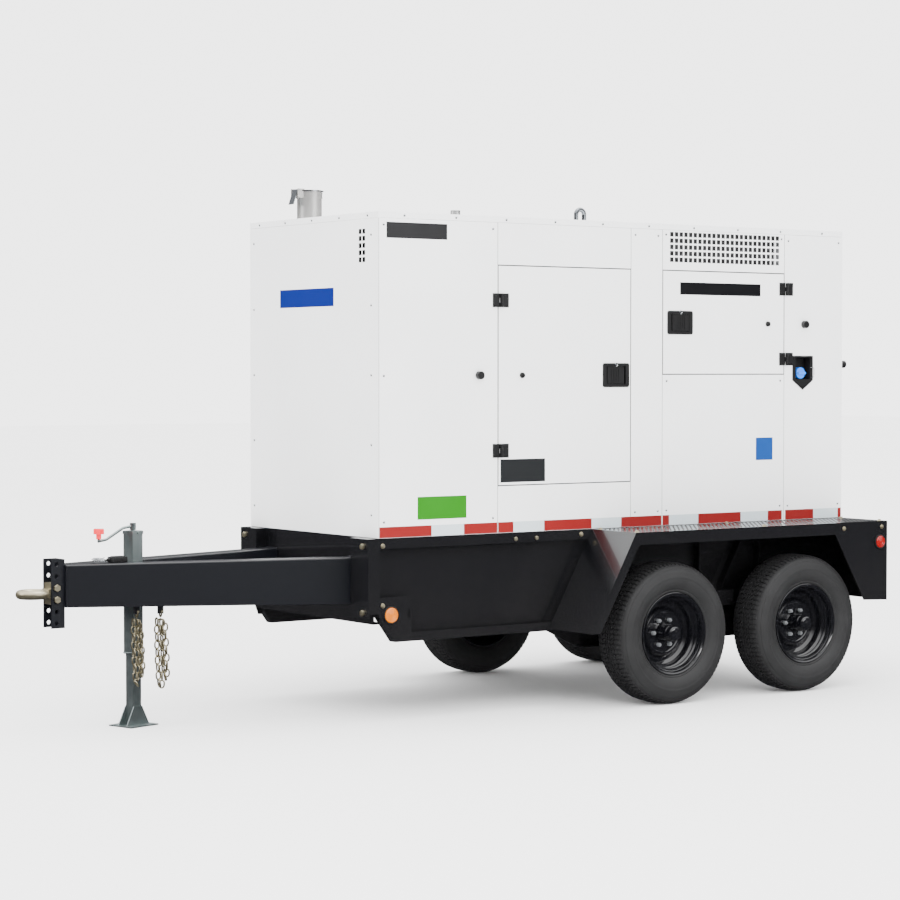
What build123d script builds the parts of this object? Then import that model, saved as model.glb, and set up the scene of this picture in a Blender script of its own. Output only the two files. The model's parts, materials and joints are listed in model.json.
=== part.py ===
from build123d import *
import os

os.makedirs("parts", exist_ok=True)

# Towable diesel generator: a sheet-metal enclosure on a deep channel base with a fuel tank
# inside it, a V drawbar with a pintle ring and a screw jack, and two sprung axles.
# Row frame: X along the trailer with the hitch at -X, Z up from the ground, Y across it.
# Stations ("s") are measured rearwards from the enclosure's front face.

# ---------------------------------------------------------------- driving dimensions (mm)
overall_length = 4680.0
ring_reach = 1601.0
face_x = ring_reach - overall_length / 2
house_length = 3040.0
half_width = 595.0
base_bottom = 382.0
base_top = 882.0
roof_top = 2443.0
sheet = 3.0
seam = 3.0
# base rails
rail_inner = 545.0
rail_wall = 6.0
chamfer_run = 95.0
chamfer_rise = 130.0
belly_bottom = 284.0
# running gear
axle_stations = (1588.0, 2490.0)
axle_z = 359.0
tyre_radius = 359.0
wheel_track = 1616.0
wheel_y = wheel_track / 2
spindle_r = 20.0
running_gap = 0.05
spring_y = 640.0
spring_half_span = 330.0
eye_z = 478.0
lug_pcd = 139.7
# fenders
fender_outer = 945.0
fender_front = 1300.0
fender_toe = 1024.0
plate = 5.0
# drawbar
arm_top = 785.0
arm_low_hitch = 588.0
arm_low_base = 561.0
arm_hitch_s = -1381.0
arm_base_s = 0.0
arm_hitch_y = 60.0
arm_base_y = 439.0
arm_width_y = 106.0
channel_front_s = -1447.0
channel_half = 45.0
hitch_z = 652.0
ring_s = -1522.0
ring_major = 58.5
ring_minor = 20.5
hole_pitch = 54.8
# safety chains: station, Y and lowest point of each bundle
chain_places = {"left": (-1030.0, -88.0, 178.0), "right": (-926.0, -130.0, 160.0)}
chain_pin_z = 553.0
chain_half = 18.0
# jack
jack_s = -990.0
jack_y = 20.0
jack_turn = 15.4
jack_tube_half = 32.0
jack_bottom = 342.0
jack_top = 927.0
crank_reach = 185.0
# doors: hinge axis stations and leaf dimensions
front_door = (705.0, 1551.0)
rear_bay = (1761.0, 2612.0)
door_low = 1118.0
door_high = 2203.5
bay_split = 1666.5
hinge_out = 10.0
hinge_height = 68.0
knuckle_r = 8.0
hinge_pin_r = 4.0
front_hinge_s = 722.0
rear_hinge_s = 2624.0
rear_door_half = 456.5
rear_hinge_y = 440.0
rear_door_low = 1060.0
rear_door_high = 2320.0
door_depth = 25.0
latch_w = 172.0
latch_h = 122.0
# power unit
crank_z = 1330.0
fan_z = 1480.0
stack_s = 220.0
stack_y = 372.0
stack_r = 63.5
stack_top = 2590.0


def at(s):
    """X of a station behind the enclosure's front face."""
    return face_x + s


def span_box(s0, s1, y0, y1, z0, z1, mode=Mode.ADD):
    """A box between two corners, its X given by stations."""
    with Locations((at((s0 + s1) / 2), (y0 + y1) / 2, (z0 + z1) / 2)):
        Box(s1 - s0, y1 - y0, z1 - z0, mode=mode)


def side_plate(points, y0, y1, mode=Mode.ADD):
    """A flat plate: an outline of (station, z) points, thick from y0 to y1."""
    with BuildSketch(Plane.XZ.offset(-y1)) as outline:
        with BuildLine():
            Polyline([(at(s), z) for s, z in points], close=True)
        make_face()
    extrude(outline.sketch, amount=y1 - y0, mode=mode)


def rod(a, b, radius, mode=Mode.ADD):
    """A round bar from point a to point b."""
    start = Vector(*a)
    run = Vector(*b) - start
    with BuildSketch(Plane(origin=start, z_dir=run)) as section:
        Circle(radius)
    extrude(section.sketch, amount=run.length, mode=mode)


def tube_path(points, bends, radius):
    """A round bar along straight runs with bends of the given radii."""
    with BuildLine() as route:
        FilletPolyline(*points, radius=bends)
    with BuildSketch(Plane(origin=route.line @ 0, z_dir=route.line % 0)) as section:
        Circle(radius)
    sweep(section.sketch, path=route.line)


def save(shape, name):
    shape.label = name
    export_step(shape, f"parts/{name}.step")


def group(name, shapes):
    """Several separate solids kept as one named piece."""
    save(Compound(label=name, children=shapes), name)


def both_sides(make):
    """The same maker called for the left (-1) and the right (+1) side."""
    return [make(-1), make(1)]


def y_span(side, inner, outer):
    """Low and high Y of a band that lies from inner to outer on one side."""
    return (inner, outer) if side > 0 else (-outer, -inner)


# ---------------------------------------------------------------- base frame
def rail_outline(inset_top, inset_bottom, inset_ends):
    """Side elevation of a base rail, drawn in by the given amounts."""
    front = inset_ends
    low = base_bottom + inset_bottom
    high = base_top - inset_top
    back = house_length - inset_ends
    slope = chamfer_run / chamfer_rise
    knee = base_bottom + chamfer_rise + inset_bottom * 0.55
    toe = front + (knee - low) * slope
    return [(front, knee), (toe, low), (back, low), (back, high), (front, high)]


def base_rail(side):
    """One deep channel rail: web, lips, lamp plate and the belly plate for the springs."""
    with BuildPart() as rail:
        side_plate(rail_outline(0, 0, 0), *y_span(side, rail_inner, half_width))
        pocket = rail_outline(rail_wall, rail_wall, rail_wall)
        side_plate(pocket, *y_span(side, rail_inner + rail_wall, half_width - rail_wall), Mode.SUBTRACT)
        mouth = rail_outline(50, 43, 8)
        side_plate(mouth, *y_span(side, half_width - rail_wall, half_width), Mode.SUBTRACT)
        lip = y_span(side, half_width - rail_wall, half_width)
        side_plate([(7, 520), (42, 426), (190, 426), (190, 600), (7, 600)], *lip)
        with BuildSketch(Plane.XZ.offset(-side * half_width + 20)) as tie_down:
            with Locations((at(172), 517)):
                SlotOverall(44, 18, rotation=90)
        extrude(tie_down.sketch, amount=-40, mode=Mode.SUBTRACT)
        belly = [(1030, 383), (1240, belly_bottom), (2780, belly_bottom), (2960, 383)]
        side_plate(belly, *y_span(side, rail_inner, rail_inner + rail_wall))
        y0, y1 = y_span(side, rail_inner, half_width)
        span_box(1240, 2780, y0, y1, belly_bottom, belly_bottom + rail_wall)
        for s in axle_stations:
            rod((at(s), side * 500, axle_z), (at(s), side * 600, axle_z), 46, Mode.SUBTRACT)
        web = y_span(side, rail_inner + rail_wall, half_width)
        for s in (2020, 2440):
            span_box(s - 4, s + 4, *web, base_bottom + 6, base_top - 6)
        brace = [(2330, 830), (2342, 830), (2122, 440), (2110, 440)]
        side_plate(brace, *web)
    return rail.part


def cross_member(s0, s1, z0, z1):
    """A box cross member between the rails' webs."""
    with BuildPart() as member:
        span_box(s0, s1, -rail_inner, rail_inner, z0, z1)
        span_box(s0 + 5, s1 - 5, -rail_inner - 1, rail_inner + 1, z0 + 5, z1 - 5, Mode.SUBTRACT)
    return member.part


def corner_bracket(side):
    """The drawbar's bolting bracket in front of a base corner."""
    with BuildPart() as bracket:
        span_box(-60, 0, *y_span(side, 440, 448), 500, base_top)
        span_box(-60, 0, *y_span(side, 587, half_width), 520, base_top)
        span_box(-60, -52, *y_span(side, 440, half_width), 500, base_top)
        span_box(-60, 0, *y_span(side, 440, half_width), base_top - 6, base_top)
    return bracket.part


with BuildPart() as front_member:
    span_box(0, 6, -rail_inner, rail_inner, 467, base_top)
    span_box(0, 60, -rail_inner, rail_inner, base_top - 6, base_top)
    span_box(0, 60, -rail_inner, rail_inner, 467, 473)

with BuildPart() as rear_member:
    span_box(house_length - 6, house_length, -rail_inner, rail_inner, 440, base_top)
    span_box(house_length - 60, house_length, -rail_inner, rail_inner, base_top - 6, base_top)

cross_stations = (610.0, 1240.0, 1660.0, 2280.0, 2720.0)
members = [cross_member(s, s + 80, base_top - 90, base_top - 6) for s in cross_stations]
base_solids = both_sides(base_rail) + [front_member.part, rear_member.part] + members
base_solids += both_sides(corner_bracket)

# ---------------------------------------------------------------- fuel tank inside the base
with BuildPart() as fuel_tank:
    span_box(420, 2960, -535, 535, 470, 780)
    fillet(fuel_tank.edges().filter_by(Axis.Z), 60)
    span_box(420 + sheet, 2960 - sheet, -535 + sheet, 535 - sheet, 470 + sheet, 780 - sheet, Mode.SUBTRACT)
save(fuel_tank.part, "fuel_tank")


# ---------------------------------------------------------------- drawbar and hitch
def drawbar_arm(side):
    """A tapered box arm from the hitch channel to the base; the two meet on the centreline."""
    slope = (arm_base_y - arm_hitch_y) / (arm_base_s - arm_hitch_s)
    inner_base = arm_base_y - arm_width_y
    meet_s = arm_base_s - (inner_base - 0.5) / slope
    wall = 8.0
    plan = [(arm_hitch_s, arm_hitch_y), (arm_base_s, arm_base_y), (arm_base_s, inner_base),
            (meet_s, 0.5), (arm_hitch_s, 0.5)]
    core = [(meet_s, arm_hitch_y + slope * (meet_s - arm_hitch_s) - wall * 1.04),
            (arm_base_s + 1, arm_base_y - wall * 1.04), (arm_base_s + 1, inner_base + wall * 1.04),
            (meet_s, 0.5 + wall * 1.04)]
    side_view = [(arm_hitch_s, arm_low_hitch), (arm_base_s, arm_low_base), (arm_base_s, arm_top),
                 (arm_hitch_s, arm_top)]
    with BuildPart() as arm:
        with BuildSketch(Plane.XY.offset(arm_low_base)) as footprint:
            with BuildLine():
                Polyline([(at(s), side * y) for s, y in plan], close=True)
            make_face()
        extrude(footprint.sketch, amount=arm_top - arm_low_base)
        side_plate(side_view, *y_span(side, 0, 500), Mode.INTERSECT)
        fillet(arm.edges().filter_by(lambda e: abs(e.center().Z - arm_top) < 0.5 and e.length > 900), 8)
        with BuildSketch(Plane.XY.offset(arm_low_hitch + wall)) as hollow:
            with BuildLine():
                Polyline([(at(s), side * y) for s, y in core], close=True)
            make_face()
        extrude(hollow.sketch, amount=arm_top - arm_low_hitch - 2 * wall, mode=Mode.SUBTRACT)
    return arm.part


with BuildPart() as hitch_channel:
    channel_low = hitch_z - 160
    channel_high = hitch_z + 160
    span_box(channel_front_s, arm_hitch_s, -channel_half, channel_half, channel_low, channel_high)
    span_box(channel_front_s - 1, arm_hitch_s - 10, -channel_half + 9, channel_half - 9,
             channel_low - 1, channel_high + 1, Mode.SUBTRACT)
    for row in range(6):
        z = hitch_z + (row - 2.5) * hole_pitch
        rod((at(-1422), -60, z), (at(-1422), 60, z), 10.3, Mode.SUBTRACT)


def chain_lug(s, y):
    """The plate under an arm that a safety chain hangs from."""
    with BuildPart() as lug:
        span_box(s - 14, s + 14, y - 5.5, y + 5.5, chain_pin_z - 12, chain_pin_z + 25.5)
        rod((at(s), y - 6, chain_pin_z), (at(s), y + 6, chain_pin_z), 6 + running_gap, Mode.SUBTRACT)
    return lug.part


lugs = [chain_lug(s, y) for s, y, bottom in chain_places.values()]
group("drawbar", both_sides(drawbar_arm) + [hitch_channel.part] + lugs)

with BuildPart() as hitch_ring:
    with BuildSketch(Plane(origin=(at(ring_s), 0, hitch_z), x_dir=(1, 0, 0), z_dir=(0, -1, 0))):
        with Locations((ring_major, 0)):
            Circle(ring_minor)
    revolve(axis=Axis((at(ring_s), 0, hitch_z), (0, 0, 1)))
    span_box(ring_s + ring_major + 6, arm_hitch_s - 10.5, -34, 34, hitch_z - 22, hitch_z + 22)
    span_box(-1446, arm_hitch_s - 10.5, -35.5, 35.5, hitch_z - 50, hitch_z + 50)
    for z in (hitch_z - hole_pitch / 2, hitch_z + hole_pitch / 2):
        rod((at(-1422), -60, z), (at(-1422), 60, z), 10.3, Mode.SUBTRACT)
save(hitch_ring.part, "hitch_ring")

# ---------------------------------------------------------------- frame fasteners
def hex_head(x, y, z, direction, across=30.0, height=12.0):
    """A hexagon head or nut standing on a face, along a direction."""
    with BuildPart() as head:
        with BuildSketch(Plane(origin=(x, y, z), z_dir=direction)) as outline:
            RegularPolygon(across / 2, 6, major_radius=False)
        extrude(outline.sketch, amount=height)
        chamfer(head.faces().sort_by(Axis(origin=(x, y, z), direction=direction))[-1].edges(), 1.5)
    return head.part


def through_bolt(s, z, reach):
    """A bolt across the trailer with a head on the left and a nut on the right."""
    ends = [hex_head(at(s), side * reach, z, (0, side, 0)) for side in (-1, 1)]
    with BuildPart() as bolt:
        rod((at(s), -reach, z), (at(s), reach, z), 10)
        add(ends)
    return bolt.part


hitch_bolts = [through_bolt(-1422, hitch_z + step * hole_pitch / 2, channel_half) for step in (-1, 1)]
bracket_bolts = [hex_head(at(-60), side * 550, z, (-1, 0, 0), 26) for side in (-1, 1) for z in (527, 845)]
flange_bolts = [hex_head(at(s), side * half_width, 851, (0, side, 0), 19, 8)
                for side in (-1, 1) for s in (815, 945)]
group("frame_bolts", hitch_bolts + bracket_bolts + flange_bolts)


# ---------------------------------------------------------------- jack
def turned(x, y, z):
    """The jack's own plane at a height: its faces follow the right drawbar arm."""
    return Plane(origin=(at(jack_s) + x, jack_y + y, z)).rotated((0, 0, jack_turn))


def square_tube(half, low, high, wall):
    """A square tube on the jack's axis; a wall of 0 makes it solid."""
    with BuildSketch(turned(0, 0, low)) as section:
        Rectangle(2 * half, 2 * half)
        if wall:
            Rectangle(2 * (half - wall), 2 * (half - wall), mode=Mode.SUBTRACT)
    extrude(section.sketch, amount=high - low)


jack_axis = (at(jack_s), jack_y)
with BuildPart() as jack_tube:
    square_tube(jack_tube_half, jack_bottom, jack_top - 6, 5)
    square_tube(jack_tube_half, jack_top - 6, jack_top, 0)
    rod((*jack_axis, jack_top - 20), (*jack_axis, jack_top + 1), 10 + running_gap, Mode.SUBTRACT)
    pin_out = Vector(0, -1, 0).rotate(Axis.Z, jack_turn)
    pin_root = Vector(*jack_axis, 372) + pin_out * (jack_tube_half - 2)
    rod(tuple(pin_root), tuple(pin_root + pin_out * 22), 6)
save(jack_tube.part, "jack_tube")

with BuildPart() as jack_leg:
    square_tube(25.5, 6, 650, 5)
    with BuildSketch(turned(0, 0, 0)) as foot:
        Rectangle(176, 152)
    extrude(foot.sketch, amount=6)
    for side in (-1, 1):
        along = Vector(1, 0, 0).rotate(Axis.Z, jack_turn)
        across = Vector(0, -1, 0).rotate(Axis.Z, jack_turn)
        gusset_plane = Plane(origin=(*jack_axis, 6), x_dir=along, z_dir=across).offset(side * 28.5 - 2.5)
        with BuildSketch(gusset_plane) as gusset:
            Polygon((-72, 0), (72, 0), (26, 88), (-26, 88), align=None)
        extrude(gusset.sketch, amount=5)
save(jack_leg.part, "jack_leg")

crank_hub = (*jack_axis, jack_top + 25)
crank_tip = (at(jack_s) - crank_reach, jack_y, 882)
with BuildPart() as jack_crank:
    rod((*jack_axis, jack_top - 12), crank_hub, 10)
    rod((*jack_axis, jack_top + 4), (*jack_axis, jack_top + 36), 15)
    bend = [(*jack_axis, jack_top + 22), (at(jack_s) - 52, jack_y, jack_top + 14),
            (at(jack_s) - 140, jack_y, 890), crank_tip]
    tube_path(bend, [30, 30], 6.5)
    rod((crank_tip[0] + 4, jack_y, 878), (crank_tip[0] + 4, jack_y, 936), 6)
save(jack_crank.part, "jack_crank")

knob_base = (crank_tip[0] + 4, jack_y)
with BuildPart() as jack_knob:
    rod((*knob_base, 893), (*knob_base, 918), 12)
    with BuildSketch(Plane(origin=(*knob_base, 916))) as lobes:
        Circle(17)
        with PolarLocations(16, 3):
            Circle(11)
        fillet(lobes.vertices(), 4)
    extrude(lobes.sketch, amount=26)
    fillet(jack_knob.faces().sort_by(Axis.Z)[-1].edges(), 5)
    rod((*knob_base, 880), (*knob_base, 937), 6 + running_gap, Mode.SUBTRACT)
save(jack_knob.part, "jack_knob")


# ---------------------------------------------------------------- safety chains and breakaway switch
def chain_bundle(s, y, bottom):
    """The outer shape of one safety chain gathered in loops, with the pin it hangs by."""
    with BuildPart() as bundle:
        with BuildSketch(Plane.XY.offset(chain_pin_z - 21)) as top:
            with Locations((at(s), y)):
                RectangleRounded(78, 2 * chain_half, 16)
        with BuildSketch(Plane.XY.offset(bottom)) as low:
            with Locations((at(s + 12), y)):
                RectangleRounded(58, 2 * chain_half - 4, 14)
        loft([top.sketch, low.sketch])
        for side in (-1, 1):
            y0, y1 = sorted((y + side * 6, y + side * chain_half))
            span_box(s - 10, s + 10, y0, y1, chain_pin_z - 30, chain_pin_z)
            rod((at(s), y0, chain_pin_z), (at(s), y1, chain_pin_z), 10)
        rod((at(s), y - chain_half, chain_pin_z), (at(s), y + chain_half, chain_pin_z), 6)
    return bundle.part


for hand, (s, y, bottom) in chain_places.items():
    save(chain_bundle(s, y, bottom), f"safety_chain_{hand}")

with BuildPart() as breakaway_box:
    span_box(-1148, -1060, -62, -18, arm_top, arm_top + 30)
    fillet(breakaway_box.edges().filter_by(Axis.Z), 8)
with BuildPart() as breakaway_coil:
    with BuildSketch(Plane(origin=(at(-1204), -40, arm_top + 5), x_dir=(1, 0, 0), z_dir=(0, -1, 0))) as wire:
        with Locations((38, 0)):
            Circle(4.5)
    revolve(wire.sketch, axis=Axis((at(-1204), -40, 0), (0, 0, 1)))
    span_box(-1163, -1148, -44, -36, arm_top + 1, arm_top + 9)
group("breakaway_switch", [breakaway_box.part, breakaway_coil.part])


# ---------------------------------------------------------------- fenders
def fender(side):
    """Deck, outer valance, sloping front plate and rear skirt over one pair of wheels."""
    deep = y_span(side, half_width + 0.5, fender_outer)
    rim = y_span(side, fender_outer - plate, fender_outer)
    low = 392
    with BuildPart() as wing:
        span_box(fender_front, house_length, *deep, base_top - plate, base_top)
        side_plate([(fender_front, base_top), (fender_toe, low), (fender_toe + 6, low),
                    (fender_front + 6, base_top)], *deep)
        side_plate([(fender_front, base_top), (fender_toe, low), (fender_toe + 52, low),
                    (fender_front + 22, 820), (house_length, 820), (house_length, base_top)], *rim)
        side_plate([(2658, 822), (2870, 465), (house_length, 458), (house_length, 822)], *rim)
        span_box(house_length - plate, house_length, *deep, 458, base_top)
    return wing.part


group("fenders", both_sides(fender))


# ---------------------------------------------------------------- axles, springs and hangers
def axle_beam(s):
    """A round axle tube with its turned spindles and spring seats."""
    with BuildPart() as beam:
        rod((at(s), -726, axle_z), (at(s), 726, axle_z), 38)
        rod((at(s), -898, axle_z), (at(s), 898, axle_z), spindle_r)
        for side in (-1, 1):
            y0, y1 = y_span(side, spring_y - 24, spring_y + 24)
            span_box(s - 40, s + 40, y0, y1, axle_z + 20, axle_z + 42)
    return beam.part


group("axle_beams", [axle_beam(s) for s in axle_stations])

leaf_sag = 37.0
leaf_radius = (spring_half_span**2 + leaf_sag**2) / (2 * leaf_sag)
leaf_thick = 8.0


def leaf_pack(s, side):
    """Five stacked leaves curved up to their ends, with an eye at each end."""
    centre_z = eye_z - leaf_sag + leaf_radius
    with BuildPart() as pack:
        for number, half in enumerate((spring_half_span, 270, 210, 150, 92)):
            inner = leaf_radius + number * leaf_thick
            sweep_deg = 2 * half / inner * 57.2958
            y0, y1 = y_span(side, spring_y - 22, spring_y + 22)
            with BuildSketch(Plane.XZ.offset(-y1)) as leaf:
                with BuildLine():
                    middle = (at(s), centre_z)
                    outer = CenterArc(middle, inner + leaf_thick, 270 - sweep_deg / 2, sweep_deg)
                    near = CenterArc(middle, inner, 270 - sweep_deg / 2, sweep_deg)
                    Line(outer @ 0, near @ 0)
                    Line(outer @ 1, near @ 1)
                make_face()
            extrude(leaf.sketch, amount=y1 - y0)
        for end in (-1, 1):
            x = at(s + end * (spring_half_span - 4))
            rod((x, side * (spring_y - 22), eye_z + 6), (x, side * (spring_y + 22), eye_z + 6), 16)
            rod((x, side * (spring_y - 30), eye_z + 6), (x, side * (spring_y + 30), eye_z + 6), 8.3,
                Mode.SUBTRACT)
    return pack.part


group("leaf_springs", [leaf_pack(s, side) for s in axle_stations for side in (-1, 1)])

eye_stations = [s + end * (spring_half_span - 4) for s in axle_stations for end in (-1, 1)]


def hanger(s, side, wide):
    """A fork round a spring eye with its bolt, welded to the rail's lower lip."""
    with BuildPart() as fork:
        span_box(s - wide, s + wide, *y_span(side, half_width, 615), 396, 536)
        span_box(s - wide, s + wide, *y_span(side, 664, 670), eye_z - 22, 536)
        span_box(s - wide, s + wide, *y_span(side, 615, 670), 516, 536)
        rod((at(s), side * 600, eye_z + 6), (at(s), side * 682, eye_z + 6), 8)
    return fork.part


def equalizer(side):
    """The rocker bracket between the front and rear springs."""
    front, rear = eye_stations[1], eye_stations[2]
    with BuildPart() as rocker:
        for y0, y1 in ((half_width, 615), (664, 670)):
            span_box(front - 26, rear + 26, *y_span(side, y0, y1), eye_z - 22, 536)
        span_box(front + 30, rear - 30, *y_span(side, 615, 664), 500, 536)
        for s in (front, rear):
            rod((at(s), side * 600, eye_z + 6), (at(s), side * 682, eye_z + 6), 8)
    return rocker.part


hangers = [hanger(s, side, 26) for s in (eye_stations[0], eye_stations[3]) for side in (-1, 1)]
group("base_frame", base_solids + hangers + both_sides(equalizer))


# ---------------------------------------------------------------- wheels
def wheel_profile(points, s, side):
    """A closed (radius, outboard) outline turned about the wheel's axis."""
    plane = Plane(origin=(at(s), side * wheel_y, axle_z), x_dir=(1, 0, 0), z_dir=(0, 0, 1))
    with BuildSketch(plane) as outline:
        with BuildLine():
            Polyline([(r, side * o) for r, o in points], close=True)
        make_face()
    revolve(outline.sketch, axis=Axis((at(s), 0, axle_z), (0, 1, 0)))


tyre_outer = [(192, 82), (209, 84.5), (216, 94), (236, 103), (262, 110), (288, 112), (314, 108), (334, 99),
              (348, 88), (355, 72), (tyre_radius, 40)]
tyre_inner = [(192, 66), (216, 80), (240, 91), (264, 97), (288, 98), (312, 95), (330, 86), (340, 68),
              (344, 40)]


def tyre(s, side):
    """A radial tyre as a hollow casing."""
    ring = tyre_outer + [(r, -o) for r, o in reversed(tyre_outer)]
    ring += [(r, -o) for r, o in tyre_inner] + list(reversed(tyre_inner))
    with BuildPart() as casing:
        wheel_profile(ring, s, side)
    return casing.part


rim_skin = [(208, 92), (208, 86), (191, 84), (191, 44), (168, 30), (168, -30), (191, -48), (191, -84),
            (208, -86), (208, -92)]
rim_bore = [(203, -92), (203, -90), (186, -82), (186, -52), (163, -34), (163, -6), (132, -22),
            (120, -4), (112, 0), (50, 0), (50, 6), (114, 6), (124, 2), (136, -14), (163, 4),
            (163, 34), (186, 48), (186, 82), (203, 90), (203, 92)]
hub_outline = [(spindle_r + running_gap, -70), (46, -70), (46, -28), (90, -28), (90, 0), (44, 0),
               (44, 62), (40, 66), (40, 98), (34, 108), (0, 110), (0, 92), (spindle_r + running_gap, 92)]
drum_outline = [(92, -10), (152, -10), (152, -72), (146, -72), (146, -16), (92, -16)]


def wheel(s, side):
    """A dished steel wheel on its hub and drum, with six nuts on their studs."""
    with BuildPart() as rim:
        wheel_profile(rim_skin + rim_bore, s, side)
    with BuildPart() as hub:
        wheel_profile(hub_outline, s, side)
        wheel_profile(drum_outline, s, side)
        wheel_profile([(88, -16), (94, -16), (94, -10), (88, -10)], s, side)
    nuts = []
    for number in range(6):
        turn = Vector(lug_pcd / 2, 0, 0).rotate(Axis.Y, 60 * number + 30)
        nuts.append(hex_head(at(s) + turn.X, side * (wheel_y + 6), axle_z + turn.Z, (0, side, 0), 21, 20))
    return [rim.part, hub.part] + nuts


for axle, s in zip(("front", "rear"), axle_stations):
    for hand, side in (("left", -1), ("right", 1)):
        save(tyre(s, side), f"tyre_{axle}_{hand}")
        group(f"wheel_{axle}_{hand}", wheel(s, side))


# ---------------------------------------------------------------- enclosure panels
panel_top = roof_top - 31.0
panel_low = base_top + 2.0
skin = (half_width - sheet, half_width)


def panel(s0, s1, z0, z1, side):
    """One flat side panel, drawn in by half a seam at its front and back edges."""
    with BuildPart() as flat:
        span_box(s0 + seam / 2, s1 - seam / 2, *y_span(side, *skin), z0, z1)
    return flat.part


def side_panels(side):
    """The fixed panels of one side: front, door header, door sill, post, rear bay and rear."""
    d0, d1 = front_door
    b0, b1 = rear_bay
    bay_top = bay_split - seam if side < 0 else door_high
    return [panel(1.5, d0, panel_low, panel_top, side), panel(d0, d1, door_high + seam, panel_top, side),
            panel(d0, d1, panel_low, door_low - seam, side), panel(d1, b0, panel_low, panel_top, side),
            panel(b0, b1, panel_low, bay_top, side),
            panel(b1, house_length - 1.5, panel_low, panel_top, side)]


def filler_hole():
    """The left rear panel with the fluid filler's opening in it."""
    with BuildPart() as flat:
        add(side_panels(-1)[-1])
        span_box(2690, 2802, -600, -580, 1622, 1760, Mode.SUBTRACT)
    return flat.part


group("side_panels_left", side_panels(-1)[:-1] + [filler_hole()])
group("side_panels_right", side_panels(1))

vent_pitch_s = 32.05
vent_pitch_z = 32.8
vent_hole = 24.0
vent_columns = 24
vent_rows = 5


def inlet_grille(side):
    """The square-punched air inlet panel over a rear bay."""
    middle = ((1807 + 2576) / 2, (2246 + 2404) / 2)
    with BuildPart() as flat:
        span_box(rear_bay[0] + seam / 2, rear_bay[1] - seam / 2, *y_span(side, *skin),
                 door_high + seam, panel_top)
        with BuildSketch(Plane.XZ.offset(-side * half_width + 10)) as holes:
            with Locations((at(middle[0]), middle[1])):
                with GridLocations(vent_pitch_s, vent_pitch_z, vent_columns, vent_rows):
                    Rectangle(vent_hole, vent_hole)
        extrude(holes.sketch, amount=-20, mode=Mode.SUBTRACT)
    return flat.part


group("inlet_grilles", both_sides(inlet_grille))

with BuildPart() as front_panel:
    span_box(0, sheet, -half_width, half_width, panel_low, panel_top)
    with BuildSketch(Plane.YZ.offset(at(-5))) as slots:
        with Locations((-452, 2285)):
            with GridLocations(32, 34, 2, 5):
                Rectangle(vent_hole, vent_hole)
    extrude(slots.sketch, amount=20, mode=Mode.SUBTRACT)
save(front_panel.part, "front_panel")


def rear_plate(y0, y1, z0, z1):
    """One flat plate of the rear face."""
    with BuildPart() as flat:
        span_box(house_length - sheet, house_length, y0, y1, z0, z1)
    return flat.part


rear_plates = [rear_plate(-half_width, -rear_door_half - seam / 2, panel_low, panel_top),
               rear_plate(rear_door_half + seam / 2, half_width, panel_low, panel_top),
               rear_plate(-rear_door_half, rear_door_half, rear_door_high + seam, panel_top),
               rear_plate(-rear_door_half, rear_door_half, panel_low, rear_door_low - seam)]
group("rear_panel", rear_plates)

with BuildPart() as roof_panel:
    span_box(0, house_length, -half_width, half_width, roof_top - sheet, roof_top)
    span_box(0, house_length, -half_width, half_width, panel_top + 1, roof_top - sheet)
    span_box(sheet, house_length - sheet, -half_width + sheet, half_width - sheet,
             panel_top, roof_top - sheet, Mode.SUBTRACT)
    rod((at(stack_s), stack_y, roof_top - 20), (at(stack_s), stack_y, roof_top + 5), 76, Mode.SUBTRACT)
    with BuildSketch(Plane.XY.offset(roof_top + 5)) as outlet:
        with Locations((at(330), -60)):
            with GridLocations(46, 46, 8, 10):
                Rectangle(36, 36)
    extrude(outlet.sketch, amount=-15, mode=Mode.SUBTRACT)
    rod((at(566), -430, roof_top - 20), (at(566), -430, roof_top + 5), 20, Mode.SUBTRACT)
    rod((at(1688), 0, roof_top - 20), (at(1688), 0, roof_top + 5), 14, Mode.SUBTRACT)
save(roof_panel.part, "roof_panel")


def post(s, y, low=base_top + 0.5, high=panel_top - 42):
    """A square upright of the inner frame."""
    with BuildPart() as upright:
        span_box(s, s + 38, y - 19, y + 19, low, high)
        span_box(s + 3, s + 35, y - 16, y + 16, low - 1, high + 1, Mode.SUBTRACT)
    return upright.part


def rail(y):
    """A long top rail of the inner frame."""
    with BuildPart() as top_rail:
        span_box(6, house_length - 6, y - 19, y + 19, panel_top - 41, panel_top - 3)
        span_box(5, house_length - 5, y - 16, y + 16, panel_top - 38, panel_top - 6, Mode.SUBTRACT)
    return top_rail.part


def header(s):
    """A cross tube of the inner frame between the two top rails."""
    with BuildPart() as cross:
        span_box(s, s + 38, -550, 550, panel_top - 41, panel_top - 3)
        span_box(s + 3, s + 35, -551, 551, panel_top - 38, panel_top - 6, Mode.SUBTRACT)
    return cross.part


post_y = half_width - 25
post_stations = (6.0, 662.0, 1554.0, 1718.0, 2640.0, house_length - 44)
frame_posts = [post(s, side * post_y) for s in post_stations for side in (-1, 1)]
frame_headers = [header(s) for s in (6.0, 301.0, 1669.0, house_length - 44)]
group("enclosure_posts", frame_posts + [rail(post_y), rail(-post_y)] + frame_headers)

# ---------------------------------------------------------------- doors
# Each door is described in its own plane: u runs from the hinge axis towards the latch, v is up,
# w is outwards from the wall. door_plane places that plane on the enclosure.


def door_plane(origin, u_direction, outward):
    """A door's own plane, its origin on the wall's outer face below the hinge axis."""
    return Location(Plane(origin=origin, x_dir=u_direction, z_dir=outward))


def local_box(u0, u1, v0, v1, w0, w1, mode=Mode.ADD):
    """A box in a door's own axes; v is up, so the plane's y is v."""
    with Locations(((u0 + u1) / 2, (v0 + v1) / 2, (w0 + w1) / 2)):
        Box(u1 - u0, v1 - v0, w1 - w0, mode=mode)


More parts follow.
